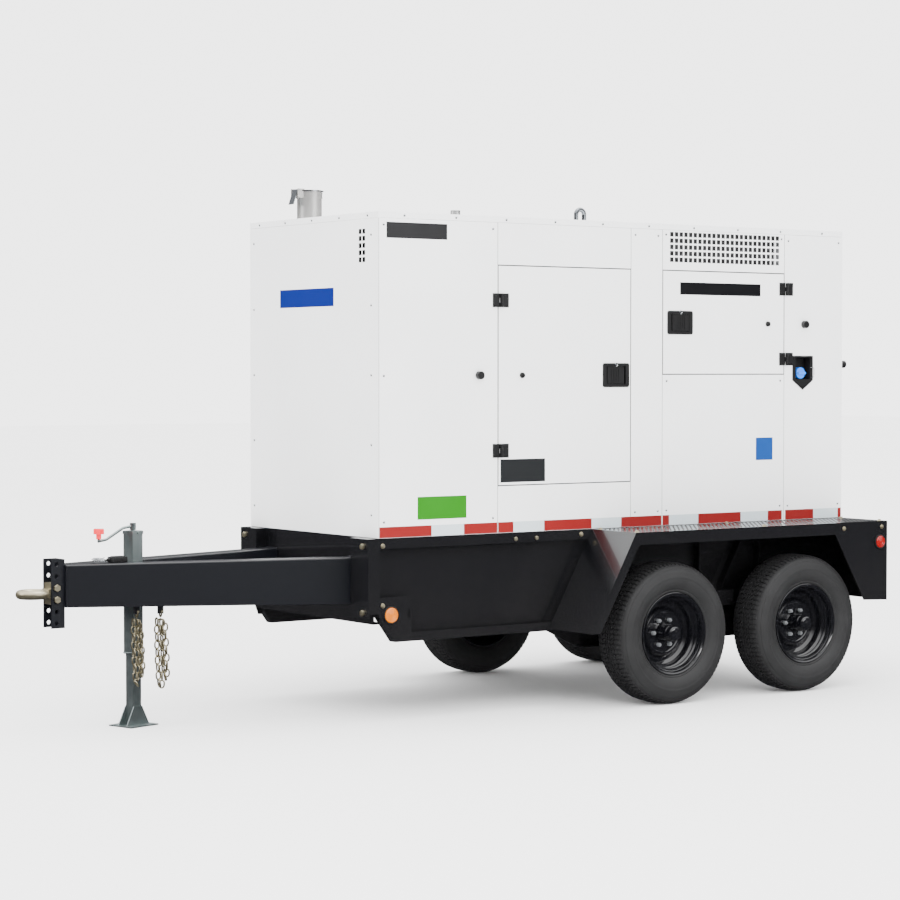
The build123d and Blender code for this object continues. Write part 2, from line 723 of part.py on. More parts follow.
def door_leaf(near, far, low, high, latch_u, latch_v):
    """A pan-shaped door: skin, return flanges and a cut-out for the latch."""
    with BuildPart() as leaf:
        local_box(near, far, low, high, -sheet, 0)
        local_box(near + 3, far - 3, low + 3, high - 3, -door_depth, -sheet)
        local_box(near + 6, far - 6, low + 6, high - 6, -door_depth - 1, -sheet, Mode.SUBTRACT)
        local_box(latch_u - 68, latch_u + 68, latch_v - 52, latch_v + 52, -9, 1, Mode.SUBTRACT)
    return leaf.part


def latch_cup(latch_u, latch_v):
    """The latch's flange and pocket, its pivot holes near the door's free edge."""
    pivot = latch_u + 50
    with BuildPart() as cup:
        local_box(latch_u - latch_w / 2, latch_u + latch_w / 2, latch_v - latch_h / 2,
                  latch_v + latch_h / 2, 0, 4)
        fillet(cup.edges().filter_by(Axis.Z), 12)
        local_box(latch_u - 67, latch_u + 67, latch_v - 51, latch_v + 51, -22, 0)
        local_box(latch_u - 62, latch_u + 62, latch_v - 46, latch_v + 46, -18, 5, Mode.SUBTRACT)
        with Locations(Location((pivot, latch_v, -2), (90, 0, 0))):
            Cylinder(3 + running_gap, 98, mode=Mode.SUBTRACT)
    return cup.part


def latch_paddle(latch_u, latch_v):
    """The pull paddle on its pivot pin, ribbed across its face."""
    pivot = latch_u + 50
    grip = latch_u - 58
    with BuildPart() as paddle:
        local_box(grip, pivot, latch_v - 43, latch_v + 43, -1, 5)
        local_box(grip, grip + 12, latch_v - 40, latch_v + 40, -9, -1)
        for rib in range(4):
            u = latch_u + (rib - 2) * 15
            local_box(u - 2, u + 2, latch_v - 34, latch_v + 34, 5, 7)
        with Locations(Location((pivot, latch_v, -2), (90, 0, 0))):
            Cylinder(5, 84)
            Cylinder(3, 97)
    return paddle.part


def hinge_fixed(v):
    """The frame half of a hinge: plate, two outer knuckles and the pin."""
    third = hinge_height / 3
    with BuildPart() as half:
        local_box(-48, -9, v - hinge_height / 2, v + hinge_height / 2, 0, 4)
        for end in (-1, 1):
            low = v + end * third - third / 2
            local_box(-10, 0, low + 0.3, low + third - 0.3, 2.5, 9)
            with Locations((0, low + third / 2, hinge_out)):
                Cylinder(knuckle_r, third - 0.6, rotation=(90, 0, 0))
        with Locations((0, v, hinge_out)):
            Cylinder(hinge_pin_r, hinge_height - 2, rotation=(90, 0, 0))
    return half.part


def hinge_moving(v):
    """The door half of a hinge: plate and the middle knuckle, bored for the pin."""
    third = hinge_height / 3
    with BuildPart() as half:
        local_box(9, 48, v - hinge_height / 2, v + hinge_height / 2, 0, 4)
        local_box(0, 10, v - third / 2 + 0.3, v + third / 2 - 0.3, 2.5, 9)
        with Locations((0, v, hinge_out)):
            Cylinder(knuckle_r, third - 0.6, rotation=(90, 0, 0))
            Cylinder(hinge_pin_r + running_gap, hinge_height, rotation=(90, 0, 0), mode=Mode.SUBTRACT)
    return half.part


def door_stop(u, v, reach, radius):
    """A rubber bumper or the peg that meets it."""
    with BuildPart() as stop:
        with Locations((u, v, reach / 2)):
            Cylinder(radius, reach)
        fillet(stop.faces().sort_by(Axis.Z)[-1].edges(), 3)
    return stop.part


catch_u = 132.0
fixed_hinges = []


def build_door(name, place, near, far, low, high, hinge_levels, latch_v, latch_in=97.5, stop_reach=24):
    """Writes a door's leaf, hardware and paddle, and collects its fixed hinge halves."""
    latch_u = far - latch_in
    leaf = door_leaf(near, far, low, high, latch_u, latch_v)
    hardware = [latch_cup(latch_u, latch_v)]
    hardware += [hinge_moving(v) for v in hinge_levels]
    hardware.append(door_stop(catch_u, latch_v, 13, 8))
    paddle = latch_paddle(latch_u, latch_v)
    save(place * leaf, f"{name}_door")
    group(f"{name}_door_hardware", [place * piece for piece in hardware])
    save(place * paddle, f"{name}_door_paddle")
    fixed_hinges.extend(place * hinge_fixed(v) for v in hinge_levels)
    fixed_hinges.append(place * door_stop(-catch_u, latch_v, stop_reach, 20))


hinge_levels_front = (1290.0, 2031.0)
for hand, side in (("left", -1), ("right", 1)):
    wall = door_plane((at(front_hinge_s), side * half_width, 0), (1, 0, 0), (0, side, 0))
    low, high = sorted((-side * door_low, -side * door_high))
    build_door(f"front_{hand}", wall, front_door[0] + seam / 2 - front_hinge_s,
               front_door[1] - seam / 2 - front_hinge_s, low, high,
               [-side * v for v in hinge_levels_front], -side * 1662.0)

wall = door_plane((at(rear_hinge_s), -half_width, 0), (-1, 0, 0), (0, -1, 0))
build_door("service", wall, rear_hinge_s - rear_bay[1] + seam / 2, rear_hinge_s - rear_bay[0] - seam / 2,
           -door_high, -bay_split, (-2121.0, -1747.0), -1934.0, latch_in=116.5)

wall = door_plane((at(house_length), -rear_hinge_y, 0), (0, 1, 0), (1, 0, 0))
build_door("rear", wall, -rear_door_half + rear_hinge_y, rear_door_half + rear_hinge_y,
           rear_door_low, rear_door_high, (1240.0, 2140.0), 1720.0, stop_reach=39)
group("door_hinges", fixed_hinges)

# ---------------------------------------------------------------- marker lamps
front_lamp = (68.0, 514.0)
red_lamp = (2984.0, 772.0)


def lamp(base, direction, radius, reach):
    """A round lamp with a domed lens on a shallow rim."""
    tip = Vector(*base) + Vector(*direction) * reach
    with BuildPart() as lens:
        rod(base, tuple(Vector(*base) + Vector(*direction) * 6), radius)
        rod(base, tuple(tip), radius - 5)
    return lens.part


def lamps_of(side):
    """The amber front, red side and red tail lamps of one side."""
    return [lamp((at(front_lamp[0]), side * half_width, front_lamp[1]), (0, side, 0), 33, 20),
            lamp((at(red_lamp[0]), side * fender_outer, red_lamp[1]), (0, side, 0), 31, 15),
            lamp((at(house_length), side * 820, 720), (1, 0, 0), 55, 18)]


group("marker_lamps", lamps_of(-1) + lamps_of(1))

# ---------------------------------------------------------------- engine and generator
member_top = base_top - 6.0


def x_drum(s0, s1, y, z, radius, mode=Mode.ADD):
    """A cylinder along the trailer's length."""
    rod((at(s0), y, z), (at(s1), y, z), radius, mode)


with BuildPart() as engine:
    span_box(900, 1560, -170, 170, 1150, 1600)
    span_box(930, 1530, -140, 140, 1010, 1150)
    span_box(870, 900, -190, 190, 1120, 1570)
    span_box(930, 1530, -120, 120, 1600, 1740)
    fillet(engine.edges().filter_by(Axis.X), 12)
    x_drum(1555, 1742, 0, crank_z, 250)
    span_box(915, 1540, -150, 150, 1165, 1585, Mode.SUBTRACT)
    span_box(940, 1520, -130, 130, 1020, 1145, Mode.SUBTRACT)
    x_drum(1565, 1732, 0, crank_z, 238, Mode.SUBTRACT)
    x_drum(800, 870, 0, fan_z, 12)
    x_drum(845, 875, 0, crank_z - 90, 80)
    rod((at(1010), 165, 1250), (at(1010), 255, 1190), 52)
    rod((at(1200), -195, 1560), (at(1420), -195, 1560), 34)
    span_box(980, 1500, -200, -120, 1630, 1700)
    span_box(980, 1500, 120, 200, 1640, 1710)
    rod((at(1120), -190, 1680), (at(1120), -300, 1680), 70)
    for s in (1250, 1670):
        for side in (-1, 1):
            span_box(s, s + 60, *y_span(side, 160, 320), 1180, 1230)
            span_box(s, s + 60, *y_span(side, 250, 320), member_top, 1185)
save(engine.part, "engine")

with BuildPart() as alternator:
    x_drum(1742, 2330, 0, crank_z, 270)
    x_drum(2330, 2400, 0, crank_z, 225)
    x_drum(1752, 2320, 0, crank_z, 240, Mode.SUBTRACT)
    span_box(1860, 2260, -200, 200, crank_z + 255, crank_z + 400)
    span_box(1863, 2257, -197, 197, crank_z + 275, crank_z + 397, Mode.SUBTRACT)
    for side in (-1, 1):
        span_box(2290, 2350, *y_span(side, 160, 300), member_top, crank_z - 130)
    for step in range(24):
        with Locations(Location((at(2040), 0, crank_z), (step * 15, 0, 0))):
            with Locations((0, 0, 273)):
                Box(520, 8, 16)
save(alternator.part, "alternator")

fan_radius = 345.0
cap_neck = (566.0, -430.0)
with BuildPart() as radiator:
    span_box(636, 668, -430, 430, 950, 2250)
    for side in (-1, 1):
        span_box(600, 690, *y_span(side, 422, 440), 950, 2250)
    span_box(590, 700, -440, 440, 2170, 2290)
    span_box(594, 696, -436, 436, 2174, 2286, Mode.SUBTRACT)
    span_box(590, 700, -440, 440, 940, 1000)
    span_box(668, 690, -430, 430, 960, 2165)
    x_drum(667, 691, 0, fan_z, fan_radius + 15, Mode.SUBTRACT)
    span_box(671, 687, -425, 425, 1880, 2160, Mode.SUBTRACT)
    rod((at(cap_neck[0]), cap_neck[1], 2270), (at(cap_neck[0]), cap_neck[1], roof_top + 14), 19)
    rod((at(cap_neck[0]), cap_neck[1], 2270), (at(620), cap_neck[1] + 20, 2230), 19)
    rod((at(645), 200, 2280), (at(645), 200, 2320), 34)
    x_drum(688, 780, 0, fan_z, fan_radius + 21)
    x_drum(696, 781, 0, fan_z, fan_radius + 15, Mode.SUBTRACT)
    for side in (-1, 1):
        span_box(615, 685, *y_span(side, 340, 430), member_top, 942)
save(radiator.part, "radiator")

with BuildPart() as coolant_cap:
    rod((at(cap_neck[0]), cap_neck[1], roof_top + 4), (at(cap_neck[0]), cap_neck[1], 2476), 24)
    fillet(coolant_cap.faces().sort_by(Axis.Z)[-1].edges(), 4)
    rod((at(cap_neck[0]), cap_neck[1], roof_top + 3), (at(cap_neck[0]), cap_neck[1], roof_top + 14.3),
        19 + running_gap, Mode.SUBTRACT)
save(coolant_cap.part, "coolant_cap")

with BuildPart() as cooling_fan:
    x_drum(712, 796, 0, fan_z, 62)
    x_drum(708, 800, 0, fan_z, 12 + running_gap, Mode.SUBTRACT)
    for step in range(8):
        with Locations(Location((at(750), 0, fan_z), (step * 45, 0, 0))):
            with Locations(Location((0, 0, 196), (0, 0, 32))):
                Box(6, 84, 290)
save(cooling_fan.part, "cooling_fan")

muffler_s = 320.0
muffler_z = 2050.0
stack_end = stack_top + 9.7
pivot_x = at(stack_s) - 80
pivot_z = stack_end + 4.5
with BuildPart() as exhaust_system:
    rod((at(muffler_s), -420, muffler_z), (at(muffler_s), 240, muffler_z), 118)
    fillet(exhaust_system.edges(), 20)
    rod((at(muffler_s), -410, muffler_z), (at(muffler_s), 230, muffler_z), 114, Mode.SUBTRACT)
    tube_path([(at(muffler_s), -410, muffler_z), (at(muffler_s), -490, muffler_z),
               (at(1120), -490, muffler_z), (at(1120), -490, 1680), (at(1120), -301, 1680)],
              [50, 60, 60], 32)
    rod((at(muffler_s), 230, muffler_z), (at(stack_s), stack_y, muffler_z), 50)
    rod((at(stack_s), stack_y, muffler_z - 60), (at(stack_s), stack_y, stack_end), stack_r)
    rod((at(stack_s), stack_y, stack_end - 36), (at(stack_s), stack_y, stack_end - 4), stack_r + 2)
    rod((at(stack_s), stack_y, 2300), (at(stack_s), stack_y, stack_end + 1), stack_r - 2.5, Mode.SUBTRACT)
    for y in (-300, 100):
        span_box(muffler_s - 4, muffler_s + 4, y - 25, y + 25, muffler_z + 100, panel_top - 41)
    for side in (-1, 1):
        ear_y = stack_y + side * 32
        span_box(stack_s - 90, stack_s - 50, ear_y - 2, ear_y + 2, stack_end - 34, pivot_z + 7)
    rod((at(stack_s), stack_y, stack_end - 40), (at(stack_s), stack_y, pivot_z + 8), stack_r - 2.5,
        Mode.SUBTRACT)
    rod((pivot_x, stack_y - 40, pivot_z), (pivot_x, stack_y + 40, pivot_z), 3 + running_gap, Mode.SUBTRACT)
save(exhaust_system.part, "exhaust_system")

with BuildPart() as rain_cap:
    rod((at(stack_s), stack_y, stack_end + 0.3), (at(stack_s), stack_y, stack_end + 3.3), 73.5)
    rod((at(stack_s), stack_y, stack_end + 3), (at(stack_s), stack_y, stack_end + 6.5), 60)
    span_box(stack_s - 80, stack_s - 50, stack_y - 24, stack_y + 24, stack_end + 3, stack_end + 6)
    rod((pivot_x, stack_y - 28, pivot_z), (pivot_x, stack_y + 28, pivot_z), 5.5)
    rod((pivot_x, stack_y - 36, pivot_z), (pivot_x, stack_y + 36, pivot_z), 3)
    tail = [(stack_s - 82, pivot_z + 2), (stack_s - 108, pivot_z - 74), (stack_s - 111, pivot_z - 73),
            (stack_s - 85, pivot_z + 3)]
    side_plate(tail, stack_y - 24, stack_y + 24)
    span_box(stack_s - 90, stack_s - 50, stack_y - 34.5, stack_y - 29.5, stack_end - 36, pivot_z + 8,
             Mode.SUBTRACT)
    span_box(stack_s - 90, stack_s - 50, stack_y + 29.5, stack_y + 34.5, stack_end - 36, pivot_z + 8,
             Mode.SUBTRACT)
    rod((pivot_x, stack_y - 36, pivot_z), (pivot_x, stack_y + 36, pivot_z), 3)
save(rain_cap.part, "rain_cap")

# ---------------------------------------------------------------- controls behind the rear door
panel_face_s = 2950.0
stop_at = (250.0, 2100.0)
selector_at = (-200.0, 2100.0)
breaker_z = 1650.0
lever_s = 2966.0
with BuildPart() as control_panel:
    span_box(2700, panel_face_s, -400, 400, 1400, 2250)
    fillet(control_panel.edges().filter_by(Axis.X), 10)
    span_box(2700 + sheet, panel_face_s - sheet, -397, 397, 1403, 2247, Mode.SUBTRACT)
    x_drum(panel_face_s - 45, panel_face_s - 1, *stop_at, 24)
    x_drum(panel_face_s - 36, panel_face_s - 1, *selector_at, 22)
    span_box(panel_face_s - 30, panel_face_s - 1, -75, 75, breaker_z - 100, breaker_z + 100)
    span_box(panel_face_s - 1, panel_face_s + 4, -120, 120, 1960, 2150)
    for y, z in ((-280, 1960), (-200, 1960), (200, 1960), (280, 1960)):
        x_drum(panel_face_s - 1, panel_face_s + 8, y, z, 30)
    x_drum(panel_face_s - 1, panel_face_s + 12, *stop_at, 24)
    x_drum(panel_face_s - 40, panel_face_s + 13, *stop_at, 10 + running_gap, Mode.SUBTRACT)
    x_drum(panel_face_s - 1, panel_face_s + 6, *selector_at, 22)
    x_drum(panel_face_s - 30, panel_face_s + 7, *selector_at, 6 + running_gap, Mode.SUBTRACT)
    span_box(panel_face_s - 1, panel_face_s + 26, -75, 75, breaker_z - 100, breaker_z + 100)
    span_box(panel_face_s - 20, panel_face_s + 27, -16, 16, breaker_z - 45, breaker_z + 45, Mode.SUBTRACT)
    rod((at(lever_s), -30, breaker_z), (at(lever_s), 30, breaker_z), 4 + running_gap, Mode.SUBTRACT)
    for side in (-1, 1):
        for z in (1800, 2190):
            span_box(2702, 2742, *y_span(side, 398, 551), z, z + 30)
            span_box(2678, 2742, *y_span(side, 551, 589), z, z + 30)
save(control_panel.part, "control_panel")

with BuildPart() as emergency_stop:
    x_drum(panel_face_s - 30, panel_face_s + 24, *stop_at, 10)
    x_drum(panel_face_s + 22, panel_face_s + 40, *stop_at, 20)
    fillet(emergency_stop.faces().sort_by(Axis.X)[-1].edges(), 6)
save(emergency_stop.part, "emergency_stop")

with BuildPart() as selector_knob:
    x_drum(panel_face_s - 24, panel_face_s + 10, *selector_at, 6)
    x_drum(panel_face_s + 8, panel_face_s + 20, *selector_at, 18)
    span_box(panel_face_s + 18, panel_face_s + 32, selector_at[0] - 5, selector_at[0] + 5,
             selector_at[1] - 17, selector_at[1] + 17)
save(selector_knob.part, "selector_knob")

with BuildPart() as breaker_handle:
    rod((at(lever_s), -28, breaker_z), (at(lever_s), 28, breaker_z), 4)
    rod((at(lever_s), -14, breaker_z), (at(lever_s), 14, breaker_z), 11)
    span_box(lever_s, 3000, -11, 11, breaker_z - 7, breaker_z + 7)
save(breaker_handle.part, "breaker_handle")

# ---------------------------------------------------------------- exhaust fluid filler
cap_s = 2735.0
cap_z = 1672.0
with BuildPart() as def_filler:
    shield = [(2672, 1765), (2820, 1765), (2820, 1634), (2746, 1582), (2672, 1634)]
    side_plate(shield, -half_width - 4, -half_width)
    span_box(2691, 2801, -half_width, -548, 1623, 1759)
    span_box(2694, 2798, -half_width - 5, -551, 1640, 1756, Mode.SUBTRACT)
    rod((at(cap_s), -549, cap_z), (at(cap_s), -588, cap_z), 24)
    tube_path([(at(cap_s), -549, cap_z), (at(cap_s), -500, cap_z), (at(cap_s), -480, 1390)], [30], 24)
    span_box(2690, 2940, -560, -415, 1000, 1400)
    for z in (1020, 1360):
        span_box(2678, 2695, -565, -545, z, z + 20)
    for s, z in ((2684, 1752), (2808, 1752), (2746, 1598)):
        rod((at(s), -half_width - 3, z), (at(s), -half_width - 8, z), 6)
save(def_filler.part, "def_filler")

with BuildPart() as def_cap:
    rod((at(cap_s), -556, cap_z), (at(cap_s), -596, cap_z), 30)
    fillet(def_cap.faces().sort_by(Axis.Y)[0].edges(), 4)
    with Locations((at(cap_s), -600, cap_z)):
        Box(52, 12, 12)
    rod((at(cap_s), -550, cap_z), (at(cap_s), -588.3, cap_z), 24 + running_gap, Mode.SUBTRACT)
save(def_cap.part, "def_cap")

# ---------------------------------------------------------------- lifting eye, battery, air cleaner
eye_s = 1688.0
eye_bar = 12.0
eye_arch = 27.0
eye_top = 2555.0
with BuildPart() as lifting_eye:
    arch_z = eye_top - eye_bar - eye_arch
    rod((at(eye_s), 0, panel_top - 3), (at(eye_s), 0, roof_top + 4), 13.5)
    rod((at(eye_s), 0, roof_top), (at(eye_s), 0, roof_top + 8), 52)
    with BuildLine() as loop:
        legs = (at(eye_s) - eye_arch, at(eye_s) + eye_arch)
        Polyline((legs[0], 0, roof_top + 4), (legs[0], 0, arch_z))
        ThreePointArc((legs[0], 0, arch_z), (at(eye_s), 0, arch_z + eye_arch), (legs[1], 0, arch_z))
        Polyline((legs[1], 0, arch_z), (legs[1], 0, roof_top + 4))
    with BuildSketch(Plane(origin=loop.line @ 0, z_dir=(0, 0, 1))) as bar:
        Circle(eye_bar)
    sweep(bar.sketch, path=loop.line)
save(lifting_eye.part, "lifting_eye")

with BuildPart() as battery:
    span_box(890, 1160, -535, -300, base_top - 8, base_top)
    span_box(900, 1150, -525, -310, base_top, base_top + 215)
    for s in (950, 1100):
        rod((at(s), -480, base_top + 210), (at(s), -480, base_top + 232), 10)
save(battery.part, "battery")

with BuildPart() as air_cleaner:
    x_drum(1900, 2330, 120, 2000, 115)
    fillet(air_cleaner.edges(), 10)
    x_drum(1910, 2320, 120, 2000, 108, Mode.SUBTRACT)
    for s in (1960, 2200):
        span_box(s, s + 30, 60, 180, crank_z + 400, 1900)
    tube_path([(at(1910), 120, 2000), (at(1560), 120, 2000), (at(1450), 160, 1900),
               (at(1450), 160, 1711)], [70, 60], 38)
save(air_cleaner.part, "air_cleaner")
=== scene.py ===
"""Materials and visible detail for a towable diesel generator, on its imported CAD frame."""
import json
import math

import bmesh
import bpy
from bpy.props import FloatProperty, FloatVectorProperty, IntProperty, PointerProperty
from mathutils import Matrix, Vector


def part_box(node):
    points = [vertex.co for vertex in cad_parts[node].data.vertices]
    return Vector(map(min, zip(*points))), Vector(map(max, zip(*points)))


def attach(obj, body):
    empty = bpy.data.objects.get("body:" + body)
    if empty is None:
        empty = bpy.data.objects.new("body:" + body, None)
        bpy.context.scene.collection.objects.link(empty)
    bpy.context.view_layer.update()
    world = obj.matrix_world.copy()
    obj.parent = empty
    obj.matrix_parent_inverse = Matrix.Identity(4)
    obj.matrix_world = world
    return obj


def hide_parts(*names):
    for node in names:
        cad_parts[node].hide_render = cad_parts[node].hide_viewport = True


bl_info = {
    "name": "Towable generator looks",
    "version": (1, 0, 0),
    "blender": (4, 5, 0),
    "location": "3D Viewport > Sidebar > Generator",
    "description": "Finishes and details the packed towable generator",
    "category": "Object",
}

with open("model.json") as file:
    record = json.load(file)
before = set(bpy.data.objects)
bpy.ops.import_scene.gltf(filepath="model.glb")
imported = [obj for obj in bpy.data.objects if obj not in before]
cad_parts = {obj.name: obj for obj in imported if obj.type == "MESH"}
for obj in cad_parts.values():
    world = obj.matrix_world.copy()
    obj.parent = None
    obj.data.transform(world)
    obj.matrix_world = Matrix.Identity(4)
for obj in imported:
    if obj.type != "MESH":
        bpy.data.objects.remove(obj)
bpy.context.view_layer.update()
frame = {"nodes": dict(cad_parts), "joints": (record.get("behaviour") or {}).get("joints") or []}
NODES = frame["nodes"]
TRAILER = "trailer"

# The enclosure's front face, outer side, floor and roof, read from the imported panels.
HOUSE_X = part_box("front_panel")[0][0]
HOUSE_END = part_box("rear_panel")[1][0]
SIDE_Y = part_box("side_panels_right")[1][1]
HOUSE_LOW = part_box("side_panels_left")[0][2]
PANEL_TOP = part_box("side_panels_left")[1][2]
ROOF_LOW, ROOF_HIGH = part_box("roof_panel")[0][2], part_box("roof_panel")[1][2]
SIDES = (("left", -1), ("right", 1))
AXLES = ("front", "rear")


def at(station):
    """X of a station in millimetres behind the enclosure's front face."""
    return HOUSE_X + station / 1000


# ---------------------------------------------------------------- shader expressions
class Sock:
    """A node socket that can stand in arithmetic; each operation adds a Math node."""

    def __init__(self, finish, socket):
        self.finish = finish
        self.socket = socket

    def _math(self, operation, first, second):
        return self.finish.node("ShaderNodeMath", {"operation": operation}, {0: first, 1: second})

    def __add__(self, other):
        return self._math("ADD", self, other)

    def __sub__(self, other):
        return self._math("SUBTRACT", self, other)

    def __rsub__(self, other):
        return self._math("SUBTRACT", other, self)

    def __mul__(self, other):
        return self._math("MULTIPLY", self, other)

    def clamp(self):
        """This value held between 0 and 1."""
        settings = {"operation": "ADD", "use_clamp": True}
        return self.finish.node("ShaderNodeMath", settings, {0: self, 1: 0.0})

    __radd__ = __add__
    __rmul__ = __mul__


class Shader:
    """A node tree under construction."""

    def __init__(self, tree, last):
        self.tree = tree
        self.surface = tree.nodes[last]

    def node(self, kind, settings, inputs, output=0):
        """Adds a node, sets it up, links or fills its sockets, and returns one output."""
        made = self.tree.nodes.new(kind)
        for label, value in settings.items():
            if label == "stops":
                ramp = made.color_ramp.elements
                while len(ramp) < len(value):
                    ramp.new(0.5)
                for stop, (place, colour) in zip(ramp, value):
                    stop.position, stop.color = place, colour
            else:
                setattr(made, label, value)
        for label, value in inputs.items():
            if isinstance(value, Sock):
                self.tree.links.new(value.socket, made.inputs[label])
            else:
                made.inputs[label].default_value = value
        return Sock(self, made.outputs[output])

    def blend(self, factor, first, second):
        """A colour between two others."""
        settings = {"data_type": "RGBA"}
        return self.node("ShaderNodeMix", settings, {0: factor, 6: first, 7: second}, 2)

    def feed(self, **sockets):
        """Links expressions to the last node's own sockets."""
        for label, value in sockets.items():
            self.tree.links.new(value.socket, self.surface.inputs[label.replace("_", " ")])


class Finish(Shader):
    """One material under construction: a Principled surface and the nodes that feed it."""

    def __init__(self, name, **constants):
        self.material = bpy.data.materials.new(name)
        self.material.use_nodes = True
        super().__init__(self.material.node_tree, "Principled BSDF")
        for label, value in constants.items():
            self.surface.inputs[label.replace("_", " ")].default_value = value
        self.coords = self.node("ShaderNodeTexCoord", {}, {}, "Object")

    def noise(self, scale, detail=3.0, rough=0.5, stretch=None):
        """Fractal noise of a scale per metre, stretched along the axes if asked."""
        vector = self.coords
        if stretch:
            settings = {"operation": "MULTIPLY"}
            vector = self.node("ShaderNodeVectorMath", settings, {0: vector, 1: stretch})
        inputs = {"Vector": vector, "Scale": scale, "Detail": detail, "Roughness": rough}
        return self.node("ShaderNodeTexNoise", {}, inputs)

    def cells(self, scale, feature="F1"):
        """Distance to the nearest cell of a Voronoi pattern."""
        inputs = {"Vector": self.coords, "Scale": scale}
        return self.node("ShaderNodeTexVoronoi", {"feature": feature}, inputs)

    def bands(self, scale, direction="X", distort=0.0):
        """Straight waves across one axis."""
        settings = {"wave_type": "BANDS", "bands_direction": direction}
        inputs = {"Vector": self.coords, "Scale": scale, "Distortion": distort}
        return self.node("ShaderNodeTexWave", settings, inputs, "Fac")

    def along(self, axis):
        """One coordinate of the surface, by the axis's number."""
        return self.node("ShaderNodeSeparateXYZ", {}, {0: self.coords}, axis)

    def size_of(self, value):
        """A value without its sign."""
        return self.node("ShaderNodeMath", {"operation": "ABSOLUTE"}, {0: value})

    def relief(self, height, depth, strength=1.0):
        """Bump from a height expression, its depth in metres."""
        inputs = {"Height": height, "Distance": depth, "Strength": strength}
        self.feed(Normal=self.node("ShaderNodeBump", {}, inputs))


def rgba(colour, gain=1.0):
    """A colour as four numbers, made lighter or darker."""
    return (*[min(1.0, channel * gain) for channel in colour[:3]], 1.0)


def sprayed_paint(name, colour, rough, coat, peel=0.00003, dust=0.0):
    """Sprayed enamel with faint orange peel, slow tone changes and dust near the ground."""
    paint = Finish(name, Coat_Weight=coat, Coat_Roughness=0.06)
    tone = paint.noise(2.3, 4.0)
    fine = paint.noise(420.0, 2.0)
    colours = paint.blend(tone, rgba(colour, 0.95), rgba(colour, 1.05))
    if dust:
        low = (1.0 - paint.along(2) * 1.1).clamp()
        grime = (low * dust * paint.noise(14.0, 6.0, 0.62)).clamp()
        colours = paint.blend(grime, colours, (0.16, 0.145, 0.125, 1.0))
        paint.feed(Roughness=(grime * 0.6 + rough + tone * 0.05).clamp())
    else:
        paint.feed(Roughness=paint.noise(30.0, 3.0) * 0.06 + (rough - 0.03))
    paint.feed(Base_Color=colours)
    paint.relief(fine, peel)
    return paint.material


def punched_enamel(name, colour, axis, level):
    """Enamel on a punched panel; its back and hole edges are coloured near-black as painted shade, so the
    holes read dark.
    """
    paint = Finish(name, Coat_Weight=0.35, Coat_Roughness=0.06)
    tone = paint.noise(2.3, 4.0)
    # Painted shade: everything inside the panel's outer face, meaning the back and the hole walls, is
    # coloured near-black.
    behind = ((level - paint.size_of(paint.along(axis))) * 4000.0).clamp()
    fresh = paint.blend(tone, rgba(colour, 0.95), rgba(colour, 1.05))
    paint.feed(Base_Color=paint.blend(behind, fresh, (0.004, 0.004, 0.004, 1.0)))
    paint.feed(Roughness=paint.noise(30.0, 3.0) * 0.06 + 0.27)
    paint.relief(paint.noise(420.0, 2.0), 0.00003)
    return paint.material


def plated_steel(name, colour, second, rough, scale=55.0):
    """Zinc-plated steel with a cloudy passivated film."""
    plate = Finish(name, Metallic=1.0)
    cloud = plate.noise(scale, 5.0, 0.6)
    spangle = plate.cells(scale * 2.4)
    plate.feed(Base_Color=plate.blend(cloud, rgba(colour), rgba(second)))
    plate.feed(Roughness=cloud * 0.22 + spangle * 0.12 + (rough - 0.12))
    plate.relief(plate.noise(scale * 9, 3.0), 0.00005)
    return plate.material


def brushed_metal(name, colour, rough, stretch):
    """Rolled or brushed metal with fine lines along one way."""
    metal = Finish(name, Metallic=1.0)
    lines = metal.noise(60.0, 4.0, 0.6, stretch)
    metal.feed(Base_Color=metal.blend(lines, rgba(colour, 0.86), rgba(colour, 1.08)))
    metal.feed(Roughness=lines * 0.2 + (rough - 0.1))
    metal.relief(lines, 0.00004)
    return metal.material


def moulded_plastic(name, colour, rough, grain=0.00006, coat=0.0):
    """Moulded plastic with a spark-eroded grain."""
    plastic = Finish(name, Coat_Weight=coat, Coat_Roughness=0.1)
    grainy = plastic.noise(1500.0, 2.0)
    worn = plastic.noise(35.0, 4.0)
    plastic.feed(Base_Color=plastic.blend(worn, rgba(colour, 0.85), rgba(colour, 1.2)))
    plastic.feed(Roughness=worn * 0.14 + (rough - 0.07))
    plastic.relief(grainy, grain)
    return plastic.material


def tyre_rubber(name, colour):
    """Black tyre rubber, greyer where dust has settled in it."""
    rubber = Finish(name, Specular_IOR_Level=0.4)
    dusty = rubber.noise(9.0, 6.0, 0.65)
    pores = rubber.noise(900.0, 2.0)
    rubber.feed(Base_Color=rubber.blend(dusty, rgba(colour, 0.8), rgba(colour, 1.7)))
    rubber.feed(Roughness=dusty * 0.16 + 0.5)
    rubber.relief(pores, 0.00012)
    return rubber.material


def reflective_tape(name, colour):
    """Prismatic marking tape: a lattice of sealed cells under a clear film."""
    tape = Finish(name, Coat_Weight=0.8, Coat_Roughness=0.08, Roughness=0.32)
    cells = tape.cells(190.0, "DISTANCE_TO_EDGE")
    ridge = (1.0 - cells * 16.0).clamp()
    tape.feed(Base_Color=tape.blend(ridge, rgba(colour), rgba(colour, 1.25)))
    tape.relief(ridge, 0.0001)
    return tape.material


def printed_film(name, colour, rough=0.3):
    """A vinyl sticker's plain ink."""
    film = Finish(name, Coat_Weight=0.1, Coat_Roughness=0.2, Specular_IOR_Level=0.3)
    fade = film.noise(8.0, 4.0)
    film.feed(Base_Color=film.blend(fade, rgba(colour, 0.93), rgba(colour, 1.06)))
    film.feed(Roughness=fade * 0.1 + (rough - 0.05))
    film.relief(film.noise(160.0, 2.0), 0.00003)
    return film.material


